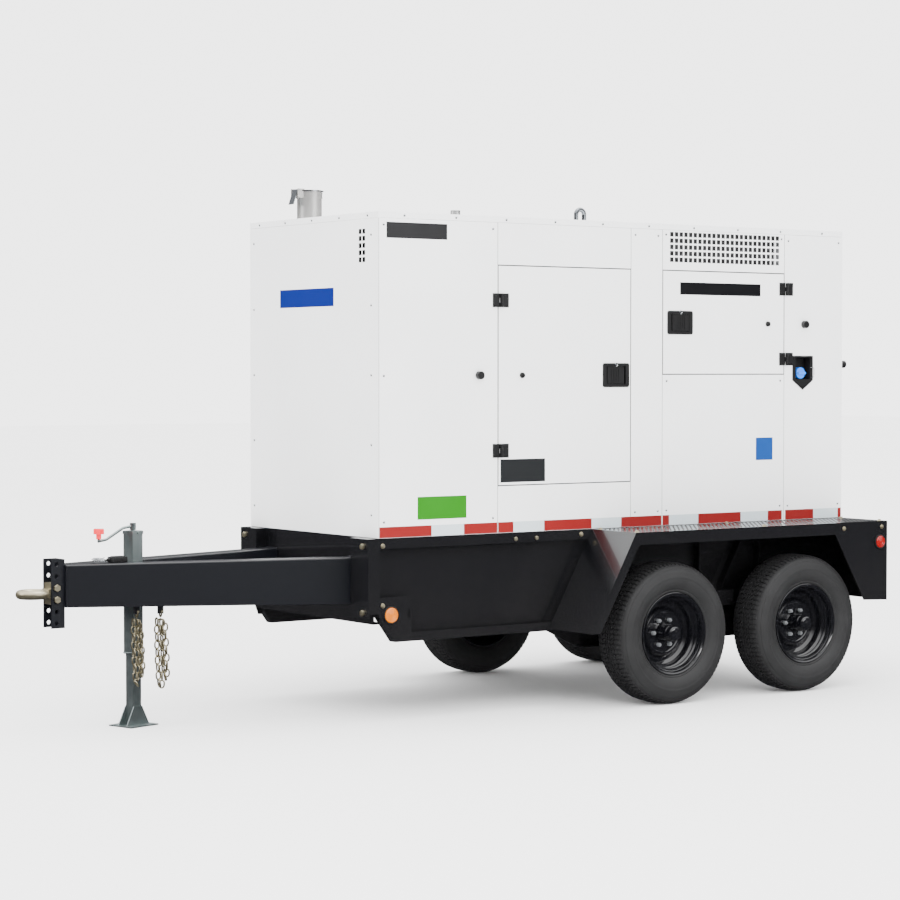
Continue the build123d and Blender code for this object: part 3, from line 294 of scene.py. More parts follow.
def lamp_lens(name, colour, glow):
    """A moulded lamp lens with prism rings under a gloss skin."""
    lens = Finish(name, Coat_Weight=1.0, Coat_Roughness=0.03, Roughness=0.14, Emission_Strength=glow)
    prisms = lens.cells(230.0)
    lens.feed(Base_Color=lens.blend(prisms, rgba(colour, 0.7), rgba(colour, 1.3)))
    lens.feed(Emission_Color=lens.blend(prisms, rgba(colour, 0.6), rgba(colour)))
    lens.relief(prisms, 0.0003)
    return lens.material


def acoustic_foam(name, colour):
    """Open-cell noise foam with a convoluted face."""
    foam = Finish(name)
    lumps = foam.cells(34.0)
    pores = foam.noise(700.0, 3.0)
    # Painted shade: the foam is darker in the hollows of its lumps, following the bump height.
    foam.feed(Base_Color=foam.blend(lumps, rgba(colour, 0.6), rgba(colour, 1.3)))
    foam.feed(Roughness=pores * 0.1 + 0.85)
    foam.relief(lumps + pores * 0.15, 0.006)
    return foam.material


def finned_core(name, colour):
    """Radiator core: fine upright fins between flat tubes."""
    core = Finish(name, Metallic=0.8)
    fins = core.bands(160.0, "Y")
    tubes = core.bands(32.0, "Z")
    # Painted shade: the darker bands stand for shade in the gaps between the fins.
    core.feed(Base_Color=core.blend(fins, rgba(colour, 0.35), rgba(colour)))
    core.feed(Roughness=fins * 0.2 + 0.35)
    core.relief(fins + tubes * 0.6, 0.0015)
    return core.material


# ---------------------------------------------------------------- geometry node trees


# For each tree: its own inputs, its nodes with their settings and fixed values, and its joins.
PART = ("Part", "NodeSocketObject", None)
CENTRE = ("Centre", "NodeSocketVector", (0, 0, 0))
TREES = {
    # A part on every point, its Z axis along the point's aim attribute.
    "set_at_points": (
        (PART, ("Size", "NodeSocketFloat", 1.0)),
        {"part": ("GeometryNodeObjectInfo", {}, {}),
         "aim": ("GeometryNodeInputNamedAttribute", {"data_type": "FLOAT_VECTOR"}, {"Name": "aim"}),
         "turn": ("FunctionNodeAlignRotationToVector", {"axis": "Z"}, {})},
        (("entry", "Part", "part", "Object"), ("aim", "Attribute", "turn", "Vector"),
         ("entry", "Geometry", "place", "Points"), ("part", "Geometry", "place", "Instance"),
         ("turn", "Rotation", "place", "Rotation"), ("entry", "Size", "place", "Scale"))),
    # The incoming geometry again and again round the Y axis through a centre.
    "repeat_round": (
        (("Count", "NodeSocketInt", 6), CENTRE),
        {"points": ("GeometryNodePoints", {}, {}),
         "number": ("GeometryNodeInputIndex", {}, {}),
         "share": ("ShaderNodeMath", {"operation": "DIVIDE"}, {}),
         "angle": ("ShaderNodeMath", {"operation": "MULTIPLY"}, {1: math.tau}),
         "spin": ("ShaderNodeCombineXYZ", {}, {})},
        (("entry", "Count", "points", "Count"), ("entry", "Centre", "points", "Position"),
         ("number", "Index", "share", 0), ("entry", "Count", "share", 1), ("share", 0, "angle", 0),
         ("angle", 0, "spin", "Y"), ("points", "Points", "place", "Points"),
         ("entry", "Geometry", "place", "Instance"), ("spin", "Vector", "place", "Rotation"))),
    # A part on a grid of points that lies flat about a centre.
    "set_on_grid": (
        (PART, ("Length", "NodeSocketFloat", 1.0), ("Width", "NodeSocketFloat", 1.0),
         ("Columns", "NodeSocketInt", 4), ("Rows", "NodeSocketInt", 4), CENTRE),
        {"part": ("GeometryNodeObjectInfo", {}, {}),
         "grid": ("GeometryNodeMeshGrid", {}, {}),
         "shift": ("GeometryNodeTransform", {}, {})},
        (("entry", "Part", "part", "Object"), ("entry", "Length", "grid", "Size X"),
         ("entry", "Width", "grid", "Size Y"), ("entry", "Columns", "grid", "Vertices X"),
         ("entry", "Rows", "grid", "Vertices Y"), ("grid", "Mesh", "shift", "Geometry"),
         ("entry", "Centre", "shift", "Translation"), ("shift", "Geometry", "place", "Points"),
         ("part", "Geometry", "place", "Instance"))),
    # A part along the edges of the incoming path, each one turned a quarter on.
    "string_along": (
        (PART, ("Pitch", "NodeSocketFloat", 0.036)),
        {"part": ("GeometryNodeObjectInfo", {}, {}),
         "path": ("GeometryNodeMeshToCurve", {}, {}),
         "points": ("GeometryNodeCurveToPoints", {"mode": "LENGTH"}, {}),
         "number": ("GeometryNodeInputIndex", {}, {}),
         "quarter": ("ShaderNodeMath", {"operation": "MULTIPLY"}, {1: math.pi / 2}),
         "spin": ("ShaderNodeCombineXYZ", {}, {}),
         "turn": ("FunctionNodeRotateRotation", {"rotation_space": "LOCAL"}, {})},
        (("entry", "Part", "part", "Object"), ("entry", "Geometry", "path", "Mesh"),
         ("path", "Curve", "points", "Curve"), ("entry", "Pitch", "points", "Length"),
         ("number", "Index", "quarter", 0), ("quarter", 0, "spin", "Z"),
         ("points", "Rotation", "turn", "Rotation"), ("spin", "Vector", "turn", "Rotate By"),
         ("points", "Points", "place", "Points"), ("part", "Geometry", "place", "Instance"),
         ("turn", "Rotation", "place", "Rotation"))),
}


def make_tree(name):
    """A Geometry Nodes tree that sets instances, makes them real and gives them the Material input."""
    inputs, nodes, joins = TREES[name]
    tree = bpy.data.node_groups.new(name, "GeometryNodeTree")
    for label, kind, default in (("Geometry", "NodeSocketGeometry", None), *inputs,
                                 ("Material", "NodeSocketMaterial", None)):
        made = tree.interface.new_socket(label, in_out="INPUT", socket_type=kind)
        if default is not None:
            made.default_value = default
    tree.interface.new_socket("Geometry", in_out="OUTPUT", socket_type="NodeSocketGeometry")
    nodes = {**nodes, "entry": ("NodeGroupInput", {}, {}), "leave": ("NodeGroupOutput", {}, {}),
             "place": ("GeometryNodeInstanceOnPoints", {}, {}),
             "real": ("GeometryNodeRealizeInstances", {}, {}),
             "coat": ("GeometryNodeSetMaterial", {}, {})}
    made = {}
    for label, (kind, settings, values) in nodes.items():
        made[label] = tree.nodes.new(kind)
        for setting, value in settings.items():
            setattr(made[label], setting, value)
        for socket, value in values.items():
            made[label].inputs[socket].default_value = value
    for source, output, target, socket in (*joins, ("place", "Instances", "real", "Geometry"),
                                           ("real", "Geometry", "coat", "Geometry"),
                                           ("entry", "Material", "coat", "Material"),
                                           ("coat", "Geometry", "leave", "Geometry")):
        tree.links.new(made[source].outputs[output], made[target].inputs[socket])
    return tree


def shown(name, data):
    """A new object of some data, linked to the scene."""
    made = bpy.data.objects.new(name, data)
    bpy.context.scene.collection.objects.link(made)
    return made


def evaluated_mesh(source):
    """The mesh that an object shows with its modifiers or as a curve."""
    bpy.context.view_layer.update()
    return bpy.data.meshes.new_from_object(source.evaluated_get(bpy.context.evaluated_depsgraph_get()))


def grown(base, tree_name, material, **values):
    """Runs a tree on an object and returns the result as a plain mesh; the object is removed."""
    tree = bpy.data.node_groups.get(tree_name) or make_tree(tree_name)
    modifier = base.modifiers.new(tree_name, "NODES")
    modifier.node_group = tree
    labels = {item.name: item.identifier for item in tree.interface.items_tree
              if item.in_out == "INPUT"}
    for label, value in {**values, "Material": material}.items():
        modifier[labels[label]] = value
    mesh = evaluated_mesh(base)
    base.modifiers.remove(modifier)
    bpy.data.objects.remove(base)
    return mesh


# ---------------------------------------------------------------- mesh helpers
class Build:
    """Collects solids in one bmesh and hands them over as a finished piece."""

    def __init__(self):
        self.mesh = bmesh.new()

    def box(self, low, high, bevel=0.0):
        """A box between two corners, its edges rounded if asked."""
        size = [b - a for a, b in zip(low, high)]
        middle = [(a + b) / 2 for a, b in zip(low, high)]
        place = Matrix.Translation(middle) @ Matrix.Diagonal((*size, 1.0))
        made = bmesh.ops.create_cube(self.mesh, size=1.0, matrix=place)
        if bevel:
            edges = {edge for vert in made["verts"] for edge in vert.link_edges}
            bmesh.ops.bevel(self.mesh, geom=list(edges), offset=bevel, segments=2, affect="EDGES",
                            profile=0.6)
        return self

    def prism(self, outline, direction, depth):
        """A flat outline of 3D points given a depth along a direction."""
        push = Vector(direction).normalized() * depth
        near = [self.mesh.verts.new(point) for point in outline]
        far = [self.mesh.verts.new(Vector(point) + push) for point in outline]
        faces = [self.mesh.faces.new(near), self.mesh.faces.new(list(reversed(far)))]
        for index in range(len(outline)):
            after = (index + 1) % len(outline)
            faces.append(self.mesh.faces.new((near[index], far[index], far[after], near[after])))
        bmesh.ops.recalc_face_normals(self.mesh, faces=faces)
        return self

    def lathe(self, profile, centre, axis, steps=48):
        """A closed outline of (radius, height) points turned about an axis through a centre."""
        turn = Vector((0, 0, 1)).rotation_difference(Vector(axis)).to_matrix()
        rings = []
        for radius, height in profile:
            if radius < 1e-6:
                rings.append([self.mesh.verts.new(Vector(centre) + turn @ Vector((0, 0, height)))])
                continue
            ring = []
            for step in range(steps):
                angle = math.tau * step / steps
                spot = Vector((radius * math.cos(angle), radius * math.sin(angle), height))
                ring.append(self.mesh.verts.new(Vector(centre) + turn @ spot))
            rings.append(ring)
        faces = []
        for index, ring in enumerate(rings):
            after = rings[(index + 1) % len(rings)]
            if len(ring) == 1 and len(after) == 1:
                continue
            for step in range(steps):
                following = (step + 1) % steps
                corners = [ring[step % len(ring)], ring[following % len(ring)],
                           after[following % len(after)], after[step % len(after)]]
                unique = list(dict.fromkeys(corners))
                faces.append(self.mesh.faces.new(unique))
        bmesh.ops.recalc_face_normals(self.mesh, faces=faces)
        return self

    def tube(self, points, radius, sides=10, closed=False):
        """A round bar that follows points, capped unless it closes on itself; radius may be a list."""
        points = [Vector(point) for point in points]
        count = len(points)
        radii = radius if isinstance(radius, list) else [radius] * count
        rings = []
        side_way = None
        for index, point in enumerate(points):
            before = points[index - 1] if index or closed else point
            after = points[(index + 1) % count] if index < count - 1 or closed else point
            run = (after - before).normalized()
            if side_way is None:
                side_way = run.orthogonal().normalized()
            side_way = (side_way - run * side_way.dot(run)).normalized()
            other = run.cross(side_way)
            rings.append([self.mesh.verts.new(point + radii[index] * (side_way * math.cos(turn)
                                                                      + other * math.sin(turn)))
                          for turn in (math.tau * k / sides for k in range(sides))])
        faces = []
        for index in range(count if closed else count - 1):
            ring, after = rings[index], rings[(index + 1) % count]
            for k in range(sides):
                faces.append(self.mesh.faces.new((ring[k], ring[(k + 1) % sides],
                                                  after[(k + 1) % sides], after[k])))
        if not closed:
            faces.append(self.mesh.faces.new(list(reversed(rings[0]))))
            faces.append(self.mesh.faces.new(rings[-1]))
        bmesh.ops.recalc_face_normals(self.mesh, faces=faces)
        return self

    def object(self, name, material=None, smooth=35.0):
        """The collected solids as an object, shaded smooth up to an angle in degrees."""
        mesh = bpy.data.meshes.new(name)
        self.mesh.to_mesh(mesh)
        self.mesh.free()
        if material:
            mesh.materials.append(material)
        return mesh_object(name, mesh, smooth)

    def hand_over(self, name, finish, body, slot, *replaced, smooth=35.0):
        """Ends the build as a finished piece of a body, and says what it replaces."""
        return fit(self.object(name, finish_of(finish), smooth), body, slot, *replaced)


def mesh_object(name, mesh, smooth=35.0):
    """Links a mesh as an object; edges sharper than the angle stay sharp."""
    mesh.name = name
    mesh.polygons.foreach_set("use_smooth", [smooth > 0] * len(mesh.polygons))
    mesh.set_sharp_from_angle(angle=math.radians(smooth))
    return shown(name, mesh)


def fit(piece, body, slot, *replaced):
    """Hands a finished piece to the frame: its body and what it replaces; its material slot is not used."""
    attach(piece, body)
    if replaced:
        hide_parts(*replaced)
    return piece


def points_object(spots):
    """Loose points with an aim attribute, for a tree to set parts on."""
    mesh = bpy.data.meshes.new("points")
    mesh.from_pydata([spot for spot, aim in spots], [], [])
    layer = mesh.attributes.new("aim", "FLOAT_VECTOR", "POINT")
    for entry, (spot, aim) in zip(layer.data, spots):
        entry.vector = aim
    return shown("points", mesh)


def set_parts(name, spots, part, material, body, slot, size=1.0):
    """Sets copies of a small part at (place, aim) pairs as one piece; the part itself stays."""
    mesh = grown(points_object(spots), "set_at_points", material, Part=part, Size=size)
    return fit(mesh_object(name, mesh), body, slot)


def finish_of(name):
    """A material made earlier by the finishes operator."""
    return bpy.data.materials[name]


def joint_place(name):
    """Where a joint of the frame has its axis."""
    return next(joint for joint in frame["joints"] if joint["name"] == name)["pos_m"]


def face_way(side):
    """The way out of an outer face: left (-1), right (1) or rear (0)."""
    return (0, side, 0) if side else (1, 0, 0)


def face_spot(side, along, out, z):
    """A point on an outer face, raised outwards by out."""
    return (along, side * (SIDE_Y + out), z) if side else (HOUSE_END + out, along, z)


def face_box(build, side, along, out, heights, bevel=0.0):
    """A box on an outer face between two places along it, two depths and two heights."""
    ends = [face_spot(side, *place) for place in zip(along, out, heights)]
    build.box([min(pair) for pair in zip(*ends)], [max(pair) for pair in zip(*ends)], bevel)


# ---------------------------------------------------------------- settings
class GENSET_PG_finish(bpy.types.PropertyGroup):
    """Colours of the main finishes."""
    body_white: FloatVectorProperty(name="Enclosure white", description="Sprayed panels and doors",
                                    subtype="COLOR", default=(0.79, 0.795, 0.80))
    frame_black: FloatVectorProperty(name="Frame black", description="Base, fenders and running gear",
                                     subtype="COLOR", default=(0.0030, 0.0031, 0.0040))
    drawbar_black: FloatVectorProperty(name="Drawbar black", description="Satin blue-black of the drawbar",
                                       subtype="COLOR", default=(0.0028, 0.0034, 0.0060))
    zinc: FloatVectorProperty(name="Clear zinc", description="Jack, crank and foot",
                              subtype="COLOR", default=(0.30, 0.36, 0.365))
    gold: FloatVectorProperty(name="Yellow zinc", description="Chains, bolts and towing ring",
                              subtype="COLOR", default=(0.55, 0.47, 0.30))
    tape_red: FloatVectorProperty(name="Tape red", description="Red marking tape",
                                  subtype="COLOR", default=(0.18, 0.001, 0.0008))
    tape_white: FloatVectorProperty(name="Tape white", description="White marking tape",
                                    subtype="COLOR", default=(0.46, 0.52, 0.55))
    cap_blue: FloatVectorProperty(name="Filler cap blue", description="Exhaust fluid filler cap",
                                  subtype="COLOR", default=(0.0005, 0.016, 0.11))
    knob_red: FloatVectorProperty(name="Knob red", description="Jack knob and stop button",
                                  subtype="COLOR", default=(0.17, 0.001, 0.002))


class GENSET_PG_wheels(bpy.types.PropertyGroup):
    """Sizes of the wheels' detail."""
    tread_pitches: IntProperty(name="Tread pitches", description="Block rows round a tyre",
                               default=88, min=20, max=120)
    tread_depth: FloatProperty(name="Tread depth", description="Height of the blocks", unit="LENGTH",
                               default=0.004, min=0.002, max=0.012)
    nut_across: FloatProperty(name="Nut size", description="Wheel nut across its flats", unit="LENGTH",
                              default=0.021)
    nut_circle: FloatProperty(name="Nut circle radius", description="Radius the nuts stand on",
                              unit="LENGTH", default=0.06985)


class GENSET_PG_trim(bpy.types.PropertyGroup):
    """Sizes of repeated trim."""
    screw_radius: FloatProperty(name="Panel screw radius", description="Head radius of the panel screws",
                                unit="LENGTH", default=0.0075)
    chain_pitch: FloatProperty(name="Chain pitch", description="Distance from link to link",
                               unit="LENGTH", default=0.036)
    chain_bar: FloatProperty(name="Chain bar radius", description="Radius of the chain's round bar",
                             unit="LENGTH", default=0.0042)
    bump_radius: FloatProperty(name="Deck bump radius", description="Radius of a raised grip bump",
                               unit="LENGTH", default=0.006)


class GENSET_PG_stage(bpy.types.PropertyGroup):
    """The camera and the lights."""
    eye: FloatVectorProperty(name="Camera place", description="Where the camera stands", unit="LENGTH",
                             subtype="TRANSLATION", default=(-7.3348, -10.4991, 1.6806))
    heading: FloatProperty(name="Camera heading", description="Turn about Z from +Y", subtype="ANGLE",
                           default=math.radians(-35.3))
    dip: FloatProperty(name="Camera dip", description="How far the camera looks down", subtype="ANGLE",
                       default=math.radians(1.8))
    lens: FloatProperty(name="Focal length", description="On a 36 mm sensor, in millimetres", default=99.9)
    sky: FloatProperty(name="Sky strength", description="Light from the white surround", default=4.0)
    backdrop: FloatProperty(name="Backdrop", description="Brightness of the backdrop itself", default=3.95)


# ---------------------------------------------------------------- finishes
def make_finishes(look):
    """Every material, by the name that the pieces ask for."""
    sprayed_paint("white_enamel", look.body_white, 0.30, 0.35)
    punched_enamel("inlet_enamel", look.body_white, 1, SIDE_Y - 0.0008)
    punched_enamel("front_enamel", look.body_white, 0, abs(HOUSE_X) - 0.0008)
    sprayed_paint("nut_silver", (0.11, 0.115, 0.12), 0.25, 0.6)
    sprayed_paint("black_enamel", look.frame_black, 0.22, 0.5, 0.00005, dust=0.05)
    sprayed_paint("deck_black", look.frame_black, 0.34, 0.2, 0.00005)
    sprayed_paint("drawbar_satin", look.drawbar_black, 0.40, 0.25, 0.00006)
    sprayed_paint("rim_black", look.frame_black, 0.12, 1.0, 0.00002)
    # The enclosure posts are black so the top row of inlet holes in front of them reads dark: painted shade.
    sprayed_paint("post_black", (0.010, 0.010, 0.011), 0.45, 0.1)
    sprayed_paint("tank_black", (0.012, 0.012, 0.013), 0.45, 0.1)
    sprayed_paint("engine_grey", (0.06, 0.065, 0.07), 0.42, 0.2, 0.0001)
    sprayed_paint("generator_grey", (0.20, 0.21, 0.22), 0.42, 0.2, 0.0001)
    sprayed_paint("console_grey", (0.22, 0.23, 0.24), 0.45, 0.15)
    plated_steel("yellow_zinc", look.gold, (0.70, 0.66, 0.50), 0.34)
    plated_steel("clear_zinc", look.zinc, (0.40, 0.45, 0.44), 0.36, 30.0)
    plated_steel("clear_zinc_light", (0.62, 0.63, 0.63), (0.70, 0.70, 0.69), 0.34)
    brushed_metal("stainless", (0.34, 0.33, 0.31), 0.22, (1.0, 1.0, 24.0))
    brushed_metal("bright_steel", (0.62, 0.64, 0.66), 0.16, (6.0, 6.0, 6.0))
    brushed_metal("dark_chrome", (0.28, 0.30, 0.32), 0.18, (5.0, 5.0, 5.0))
    moulded_plastic("black_moulding", (0.005, 0.005, 0.0055), 0.45)
    moulded_plastic("black_rubber", (0.006, 0.006, 0.006), 0.62, 0.0001)
    moulded_plastic("red_plastic", look.knob_red, 0.3, 0.00003, 0.5)
    moulded_plastic("blue_plastic", look.cap_blue, 0.32, 0.00003, 0.4)
    tyre_rubber("tyre_rubber", (0.0105, 0.0105, 0.011))
    reflective_tape("tape_red", look.tape_red)
    reflective_tape("tape_white", look.tape_white)
    printed_film("film_blue", (0.002, 0.010, 0.13))
    printed_film("film_light_blue", (0.001, 0.042, 0.20))
    printed_film("film_black", (0.003, 0.003, 0.004))
    printed_film("film_green", (0.010, 0.15, 0.001))
    printed_film("film_dark", (0.010, 0.011, 0.012))
    printed_film("film_white", (0.85, 0.85, 0.85))
    # Pale grey for the plates behind the inlets: painted light seen through the holes.
    printed_film("painted_light_grey", (0.38, 0.39, 0.40))
    lamp_lens("lens_amber", (0.46, 0.115, 0.0005), 0.1)
    lamp_lens("lens_red", (0.20, 0.001, 0.001), 0.1)
    lamp_lens("lens_screen", (0.03, 0.10, 0.09), 0.3)
    acoustic_foam("foam", (0.028, 0.028, 0.03))
    finned_core("radiator_core", (0.30, 0.31, 0.32))


NODE_FINISHES = {
    "white_enamel": ("rear_panel", "side_panels_left", "side_panels_right", "roof_panel",
                     "front_left_door", "front_right_door", "service_door", "rear_door"),
    "inlet_enamel": ("inlet_grilles",),
    "front_enamel": ("front_panel",),
    "black_enamel": ("base_frame", "fenders", "axle_beams", "leaf_springs"),
    "drawbar_satin": ("drawbar",),
    "post_black": ("enclosure_posts",),
    "tank_black": ("fuel_tank",),
    "engine_grey": ("engine",),
    "generator_grey": ("alternator",),
    "console_grey": ("control_panel",),
    "radiator_core": ("radiator",),
    "yellow_zinc": ("hitch_ring", "frame_bolts"),
    "clear_zinc": ("jack_tube", "jack_leg", "jack_crank"),
    "stainless": ("exhaust_system",),
    "dark_chrome": ("rain_cap", "lifting_eye"),
    "clear_zinc_light": ("coolant_cap",),
    "black_moulding": ("door_hinges", "front_left_door_hardware", "front_right_door_hardware",
                       "service_door_hardware", "rear_door_hardware", "front_left_door_paddle",
                       "front_right_door_paddle", "service_door_paddle", "rear_door_paddle",
                       "selector_knob", "breaker_handle", "def_filler", "battery", "air_cleaner",
                       "cooling_fan"),
    "red_plastic": ("jack_knob", "emergency_stop"),
    "blue_plastic": ("def_cap",),
}


def finish_nodes():
    """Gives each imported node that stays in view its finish."""
    for finish, names in NODE_FINISHES.items():
        for name in names:
            mesh = NODES[name].data
            mesh.materials.clear()
            mesh.materials.append(finish_of(finish))


# ---------------------------------------------------------------- marking tape and films
TAPE_LOW, TAPE_HIGH = HOUSE_LOW + 0.001, HOUSE_LOW + 0.053
FILM = 0.0005
# Ends of the tape pieces, red first: along a side in millimetres behind the front face, on the rear in Y.
TAPE_ENDS = ((4, 307, 500, 702), (708, 801, 993, 1296, 1489, 1757), (1765, 1809, 2008, 2305, 2498, 2600),
             (2624, 2830, 3012, 3036))
TAPE_REAR = (-0.590, -0.300, -0.010, 0.280, 0.590)


def lay_tape():
    """Red and white marking tape along both sides and across the rear."""
    runs = [(side, [at(end) for end in ends]) for side in (-1, 1) for ends in TAPE_ENDS]
    runs.append((0, TAPE_REAR))
    for first, colour in enumerate(("red", "white")):
        build = Build()
        for side, ends in runs:
            for start, stop in list(zip(ends, ends[1:]))[first::2]:
                face_box(build, side, (start, stop), (0, FILM), (TAPE_LOW, TAPE_HIGH))
        build.hand_over(f"marking_tape_{colour}", f"tape_{colour}", TRAILER, "lamp_lens")


def side_film(name, material, outline, body, depth):
    """A flat printed shape on the left side, its outline in (station mm, height mm)."""
    film = Build().prism([face_spot(-1, at(station), 0, height / 1000) for station, height in outline],
                         face_way(-1), depth)
    film.hand_over(name, material, body, "white_paint")


def lay_films():
    """Plain one-colour labels of the builder's own shapes; none has lettering or a device on it."""
    for name, finish, start, stop, low, high, body, depth in (
            ("corner_label", "film_black", 46, 400, 2318, 2394, TRAILER, FILM),
            ("service_label", "film_black", 1880, 2440, 2080, 2144, "service_door", FILM),
            ("green_label", "film_green", 225, 515, 966, 1076, TRAILER, FILM),
            ("dark_plate", "film_dark", 722, 998, 1133, 1247, "front_left_door", 0.001),
            ("blue_label", "film_light_blue", 2411, 2531, 1209, 1329, TRAILER, FILM)):
        side_film(name, finish, [(start, low), (stop, low), (stop, high), (start, high)], body, depth)
    corners = ((0.300, 2.000), (-0.200, 2.000), (-0.200, 2.090), (0.300, 2.090))
    band = Build().prism([(HOUSE_X, y, z) for y, z in corners], (-1, 0, 0), FILM)
    band.hand_over("front_band", "film_blue", TRAILER, "white_paint")


# ---------------------------------------------------------------- fasteners
def screw_part(trim):
    """A low domed screw head on a washer."""
    r = trim.screw_radius
    profile = [(0, 0.0042), (r * 0.35, 0.0040), (r * 0.75, 0.0028), (r * 0.95, 0.0012), (r, 0.0002),
               (r, -0.001), (0, -0.001)]
    return Build().lathe(profile, (0, 0, 0), (0, 0, 1), 14).object("screw_part")


def bolt_part():
    """A hexagon bolt head with a flange."""
    build = Build()
    build.lathe([(0, 0.0075), (0.0072, 0.0075), (0.0085, 0.0062), (0.0085, -0.001), (0, -0.001)],
                (0, 0, 0), (0, 0, 1), 6)
    build.lathe([(0, 0.0022), (0.0115, 0.0016), (0.0125, 0.0004), (0.0125, -0.001), (0, -0.001)],
                (0, 0, 0), (0, 0, 1), 18)
    return build.object("bolt_part")


PANEL_SCREWS = ((30, 2380), (30, 1660), (30, 960), (676, 2380), (676, 960), (1580, 2380), (1580, 960),
                (1732, 2380), (1732, 960), (1790, 1632), (2584, 1632), (1790, 962), (2584, 962),
                (2640, 2380), (2640, 960), (3010, 2380), (3010, 960), (1784, 2388), (2590, 2388))
BASE_BOLTS = ((24, 846), (24, 560), (1230, 858), (2010, 858), (2450, 858))
FACE_SCREWS_Y = (0.556, -0.532)
FACE_SCREWS_Z = (2.334, 1.997, 1.663, 1.329, 0.993)
HINGE_SCREW_STEP = 0.022
HINGE_LEAF_OUT = 0.004
HINGE_LEAF_MIDDLE = 0.030
# Door name, hinge line along its face, side, hinge heights, and the way the door runs.
HINGE_LINES = (
    ("front_left", at(722), -1, (1.290, 2.031), 1), ("front_right", at(722), 1, (1.290, 2.031), 1),
    ("service", at(2624), -1, (1.747, 2.121), -1), ("rear", -0.44, 0, (1.240, 2.140), 1),
)


def hinge_screws(side, along, z):
    """Four screw places on a hinge leaf centred at a place."""
    return [(face_spot(side, along + HINGE_SCREW_STEP / 2 * i, HINGE_LEAF_OUT, z + HINGE_SCREW_STEP * j),
             face_way(side)) for i in (-1, 1) for j in (-1, 1)]


def set_fasteners(trim):
    """Panel screws, roof-lip screws, base bolts and hinge screws."""
    screw, bolt = screw_part(trim), bolt_part()
    fender_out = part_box("fenders")[1][1] - SIDE_Y
    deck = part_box("base_frame")[1][2] + 0.0005
    lip = ROOF_LOW + 0.014
    spots, bolts = [], []
    for side in (-1, 1):
        out = face_way(side)
        spots += [(face_spot(side, at(s), 0, z / 1000), out) for s, z in PANEL_SCREWS]
        spots += [(face_spot(side, at(150 + 304 * k), 0, lip), out) for k in range(10)]
        bolts += [(face_spot(side, at(s), fender_out, 0.850), out) for s in (2722, 3000)]
        bolts += [(face_spot(side, at(s), 0, z / 1000), out) for s, z in BASE_BOLTS]
        bolts += [(face_spot(side, at(s), step, deck), (0, 0, 1))
                  for step in (fender_out - 0.03, 0.03) for s in (1330, 2180, 3010)]
    for z in FACE_SCREWS_Z:
        spots += [((HOUSE_X, y, z), (-1, 0, 0)) for y in FACE_SCREWS_Y]
        spots += [((HOUSE_END, y, z), (1, 0, 0)) for y in (-0.56, 0.56)]
    spots += [((HOUSE_X, y, lip), (-1, 0, 0)) for y in (-0.5, -0.25, 0.0, 0.25, 0.5)]
    set_parts("panel_screws", spots, screw, finish_of("bright_steel"), TRAILER, "bright_chrome", 0.8)
    set_parts("base_bolts", bolts, bolt, finish_of("yellow_zinc"), TRAILER, "gold_zinc")
    fixed = []
    for name, hinge, side, heights, way in HINGE_LINES:
        moving = []
        for z in heights:
            moving += hinge_screws(side, hinge + way * HINGE_LEAF_MIDDLE, z)
            fixed += hinge_screws(side, hinge - way * HINGE_LEAF_MIDDLE, z)
        set_parts(f"{name}_hinge_screws", moving, screw, finish_of("black_moulding"), f"{name}_door",
                  "black_plastic", 0.62)
    set_parts("fixed_hinge_screws", fixed, screw, finish_of("black_moulding"), TRAILER, "black_plastic",
              0.62)
    for part in (screw, bolt):
        bpy.data.objects.remove(part)


# ---------------------------------------------------------------- doors
def lock_cylinder(centre, out, body, name):
    """A keyed lock barrel set in a latch flange."""
    build = Build()
    build.lathe([(0, 0.0035), (0.0035, 0.0035), (0.0040, 0.0022), (0.0075, 0.0022), (0.0092, 0.0030),
                 (0.0100, 0.0022), (0.0100, -0.002), (0, -0.002)], centre, out, 28)
    build.hand_over(name, "bright_steel", body, "black_plastic")


DOOR_IN = 0.0256
SEAL_WIDE = 0.014
SEAL_INSET = 0.03
FOAM_INSET = 0.04
LATCH_CLEAR = 0.085
LOCK_RISE = 0.0535
EDGE_SHADE_WIDE = 0.0026
DOOR_SIDES = [(name, side) for name, hinge, side, heights, way in HINGE_LINES]
FOAM_THICK = 0.018


def peg_boots():
    """Rubber boots on the pegs that meet the round door stops."""
    profile = [(0.0081, 0.0125), (0.0105, 0.0122), (0.0128, 0.0100), (0.0140, 0.0030), (0.0142, 0.0),
               (0.0081, 0.0)]
    for name, side, along, z in (("front_left", -1, at(854), 1.662), ("front_right", 1, at(854), 1.662),
                                 ("service", -1, at(2492), 1.934), ("rear", 0, -0.308, 1.720)):
        boot = Build().lathe(profile, face_spot(side, along, 0, z), face_way(side), 32)
        boot.hand_over(f"{name}_peg_boot", "black_rubber", f"{name}_door", "black_plastic")


def door_edges(name, side):
    """A door's ends along its face and its two heights."""
    low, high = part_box(f"{name}_door")
    axis = 0 if side else 1
    return low[axis], high[axis], low[2], high[2]


def edge_doors():
    """Thin dark rubber lips along the edges of the door faces: painted shade that widens the dark line of
    the door gaps.
    """
    for name, side in DOOR_SIDES:
        start, stop, foot, head = door_edges(name, side)
        inner = (foot + EDGE_SHADE_WIDE, head - EDGE_SHADE_WIDE)
        # Painted shade: a dark strip on each edge of the door face stands for the shadow along the door gap.
        lip = Build()
        for along, up in (((start, stop), (foot, inner[0])), ((start, start + EDGE_SHADE_WIDE), inner),
                          ((start, stop), (inner[1], head)), ((stop - EDGE_SHADE_WIDE, stop), inner)):
            face_box(lip, side, along, (-0.0005, 0.0004), up)
        lip.hand_over(f"{name}_door_lip", "black_rubber", f"{name}_door", "black_plastic")


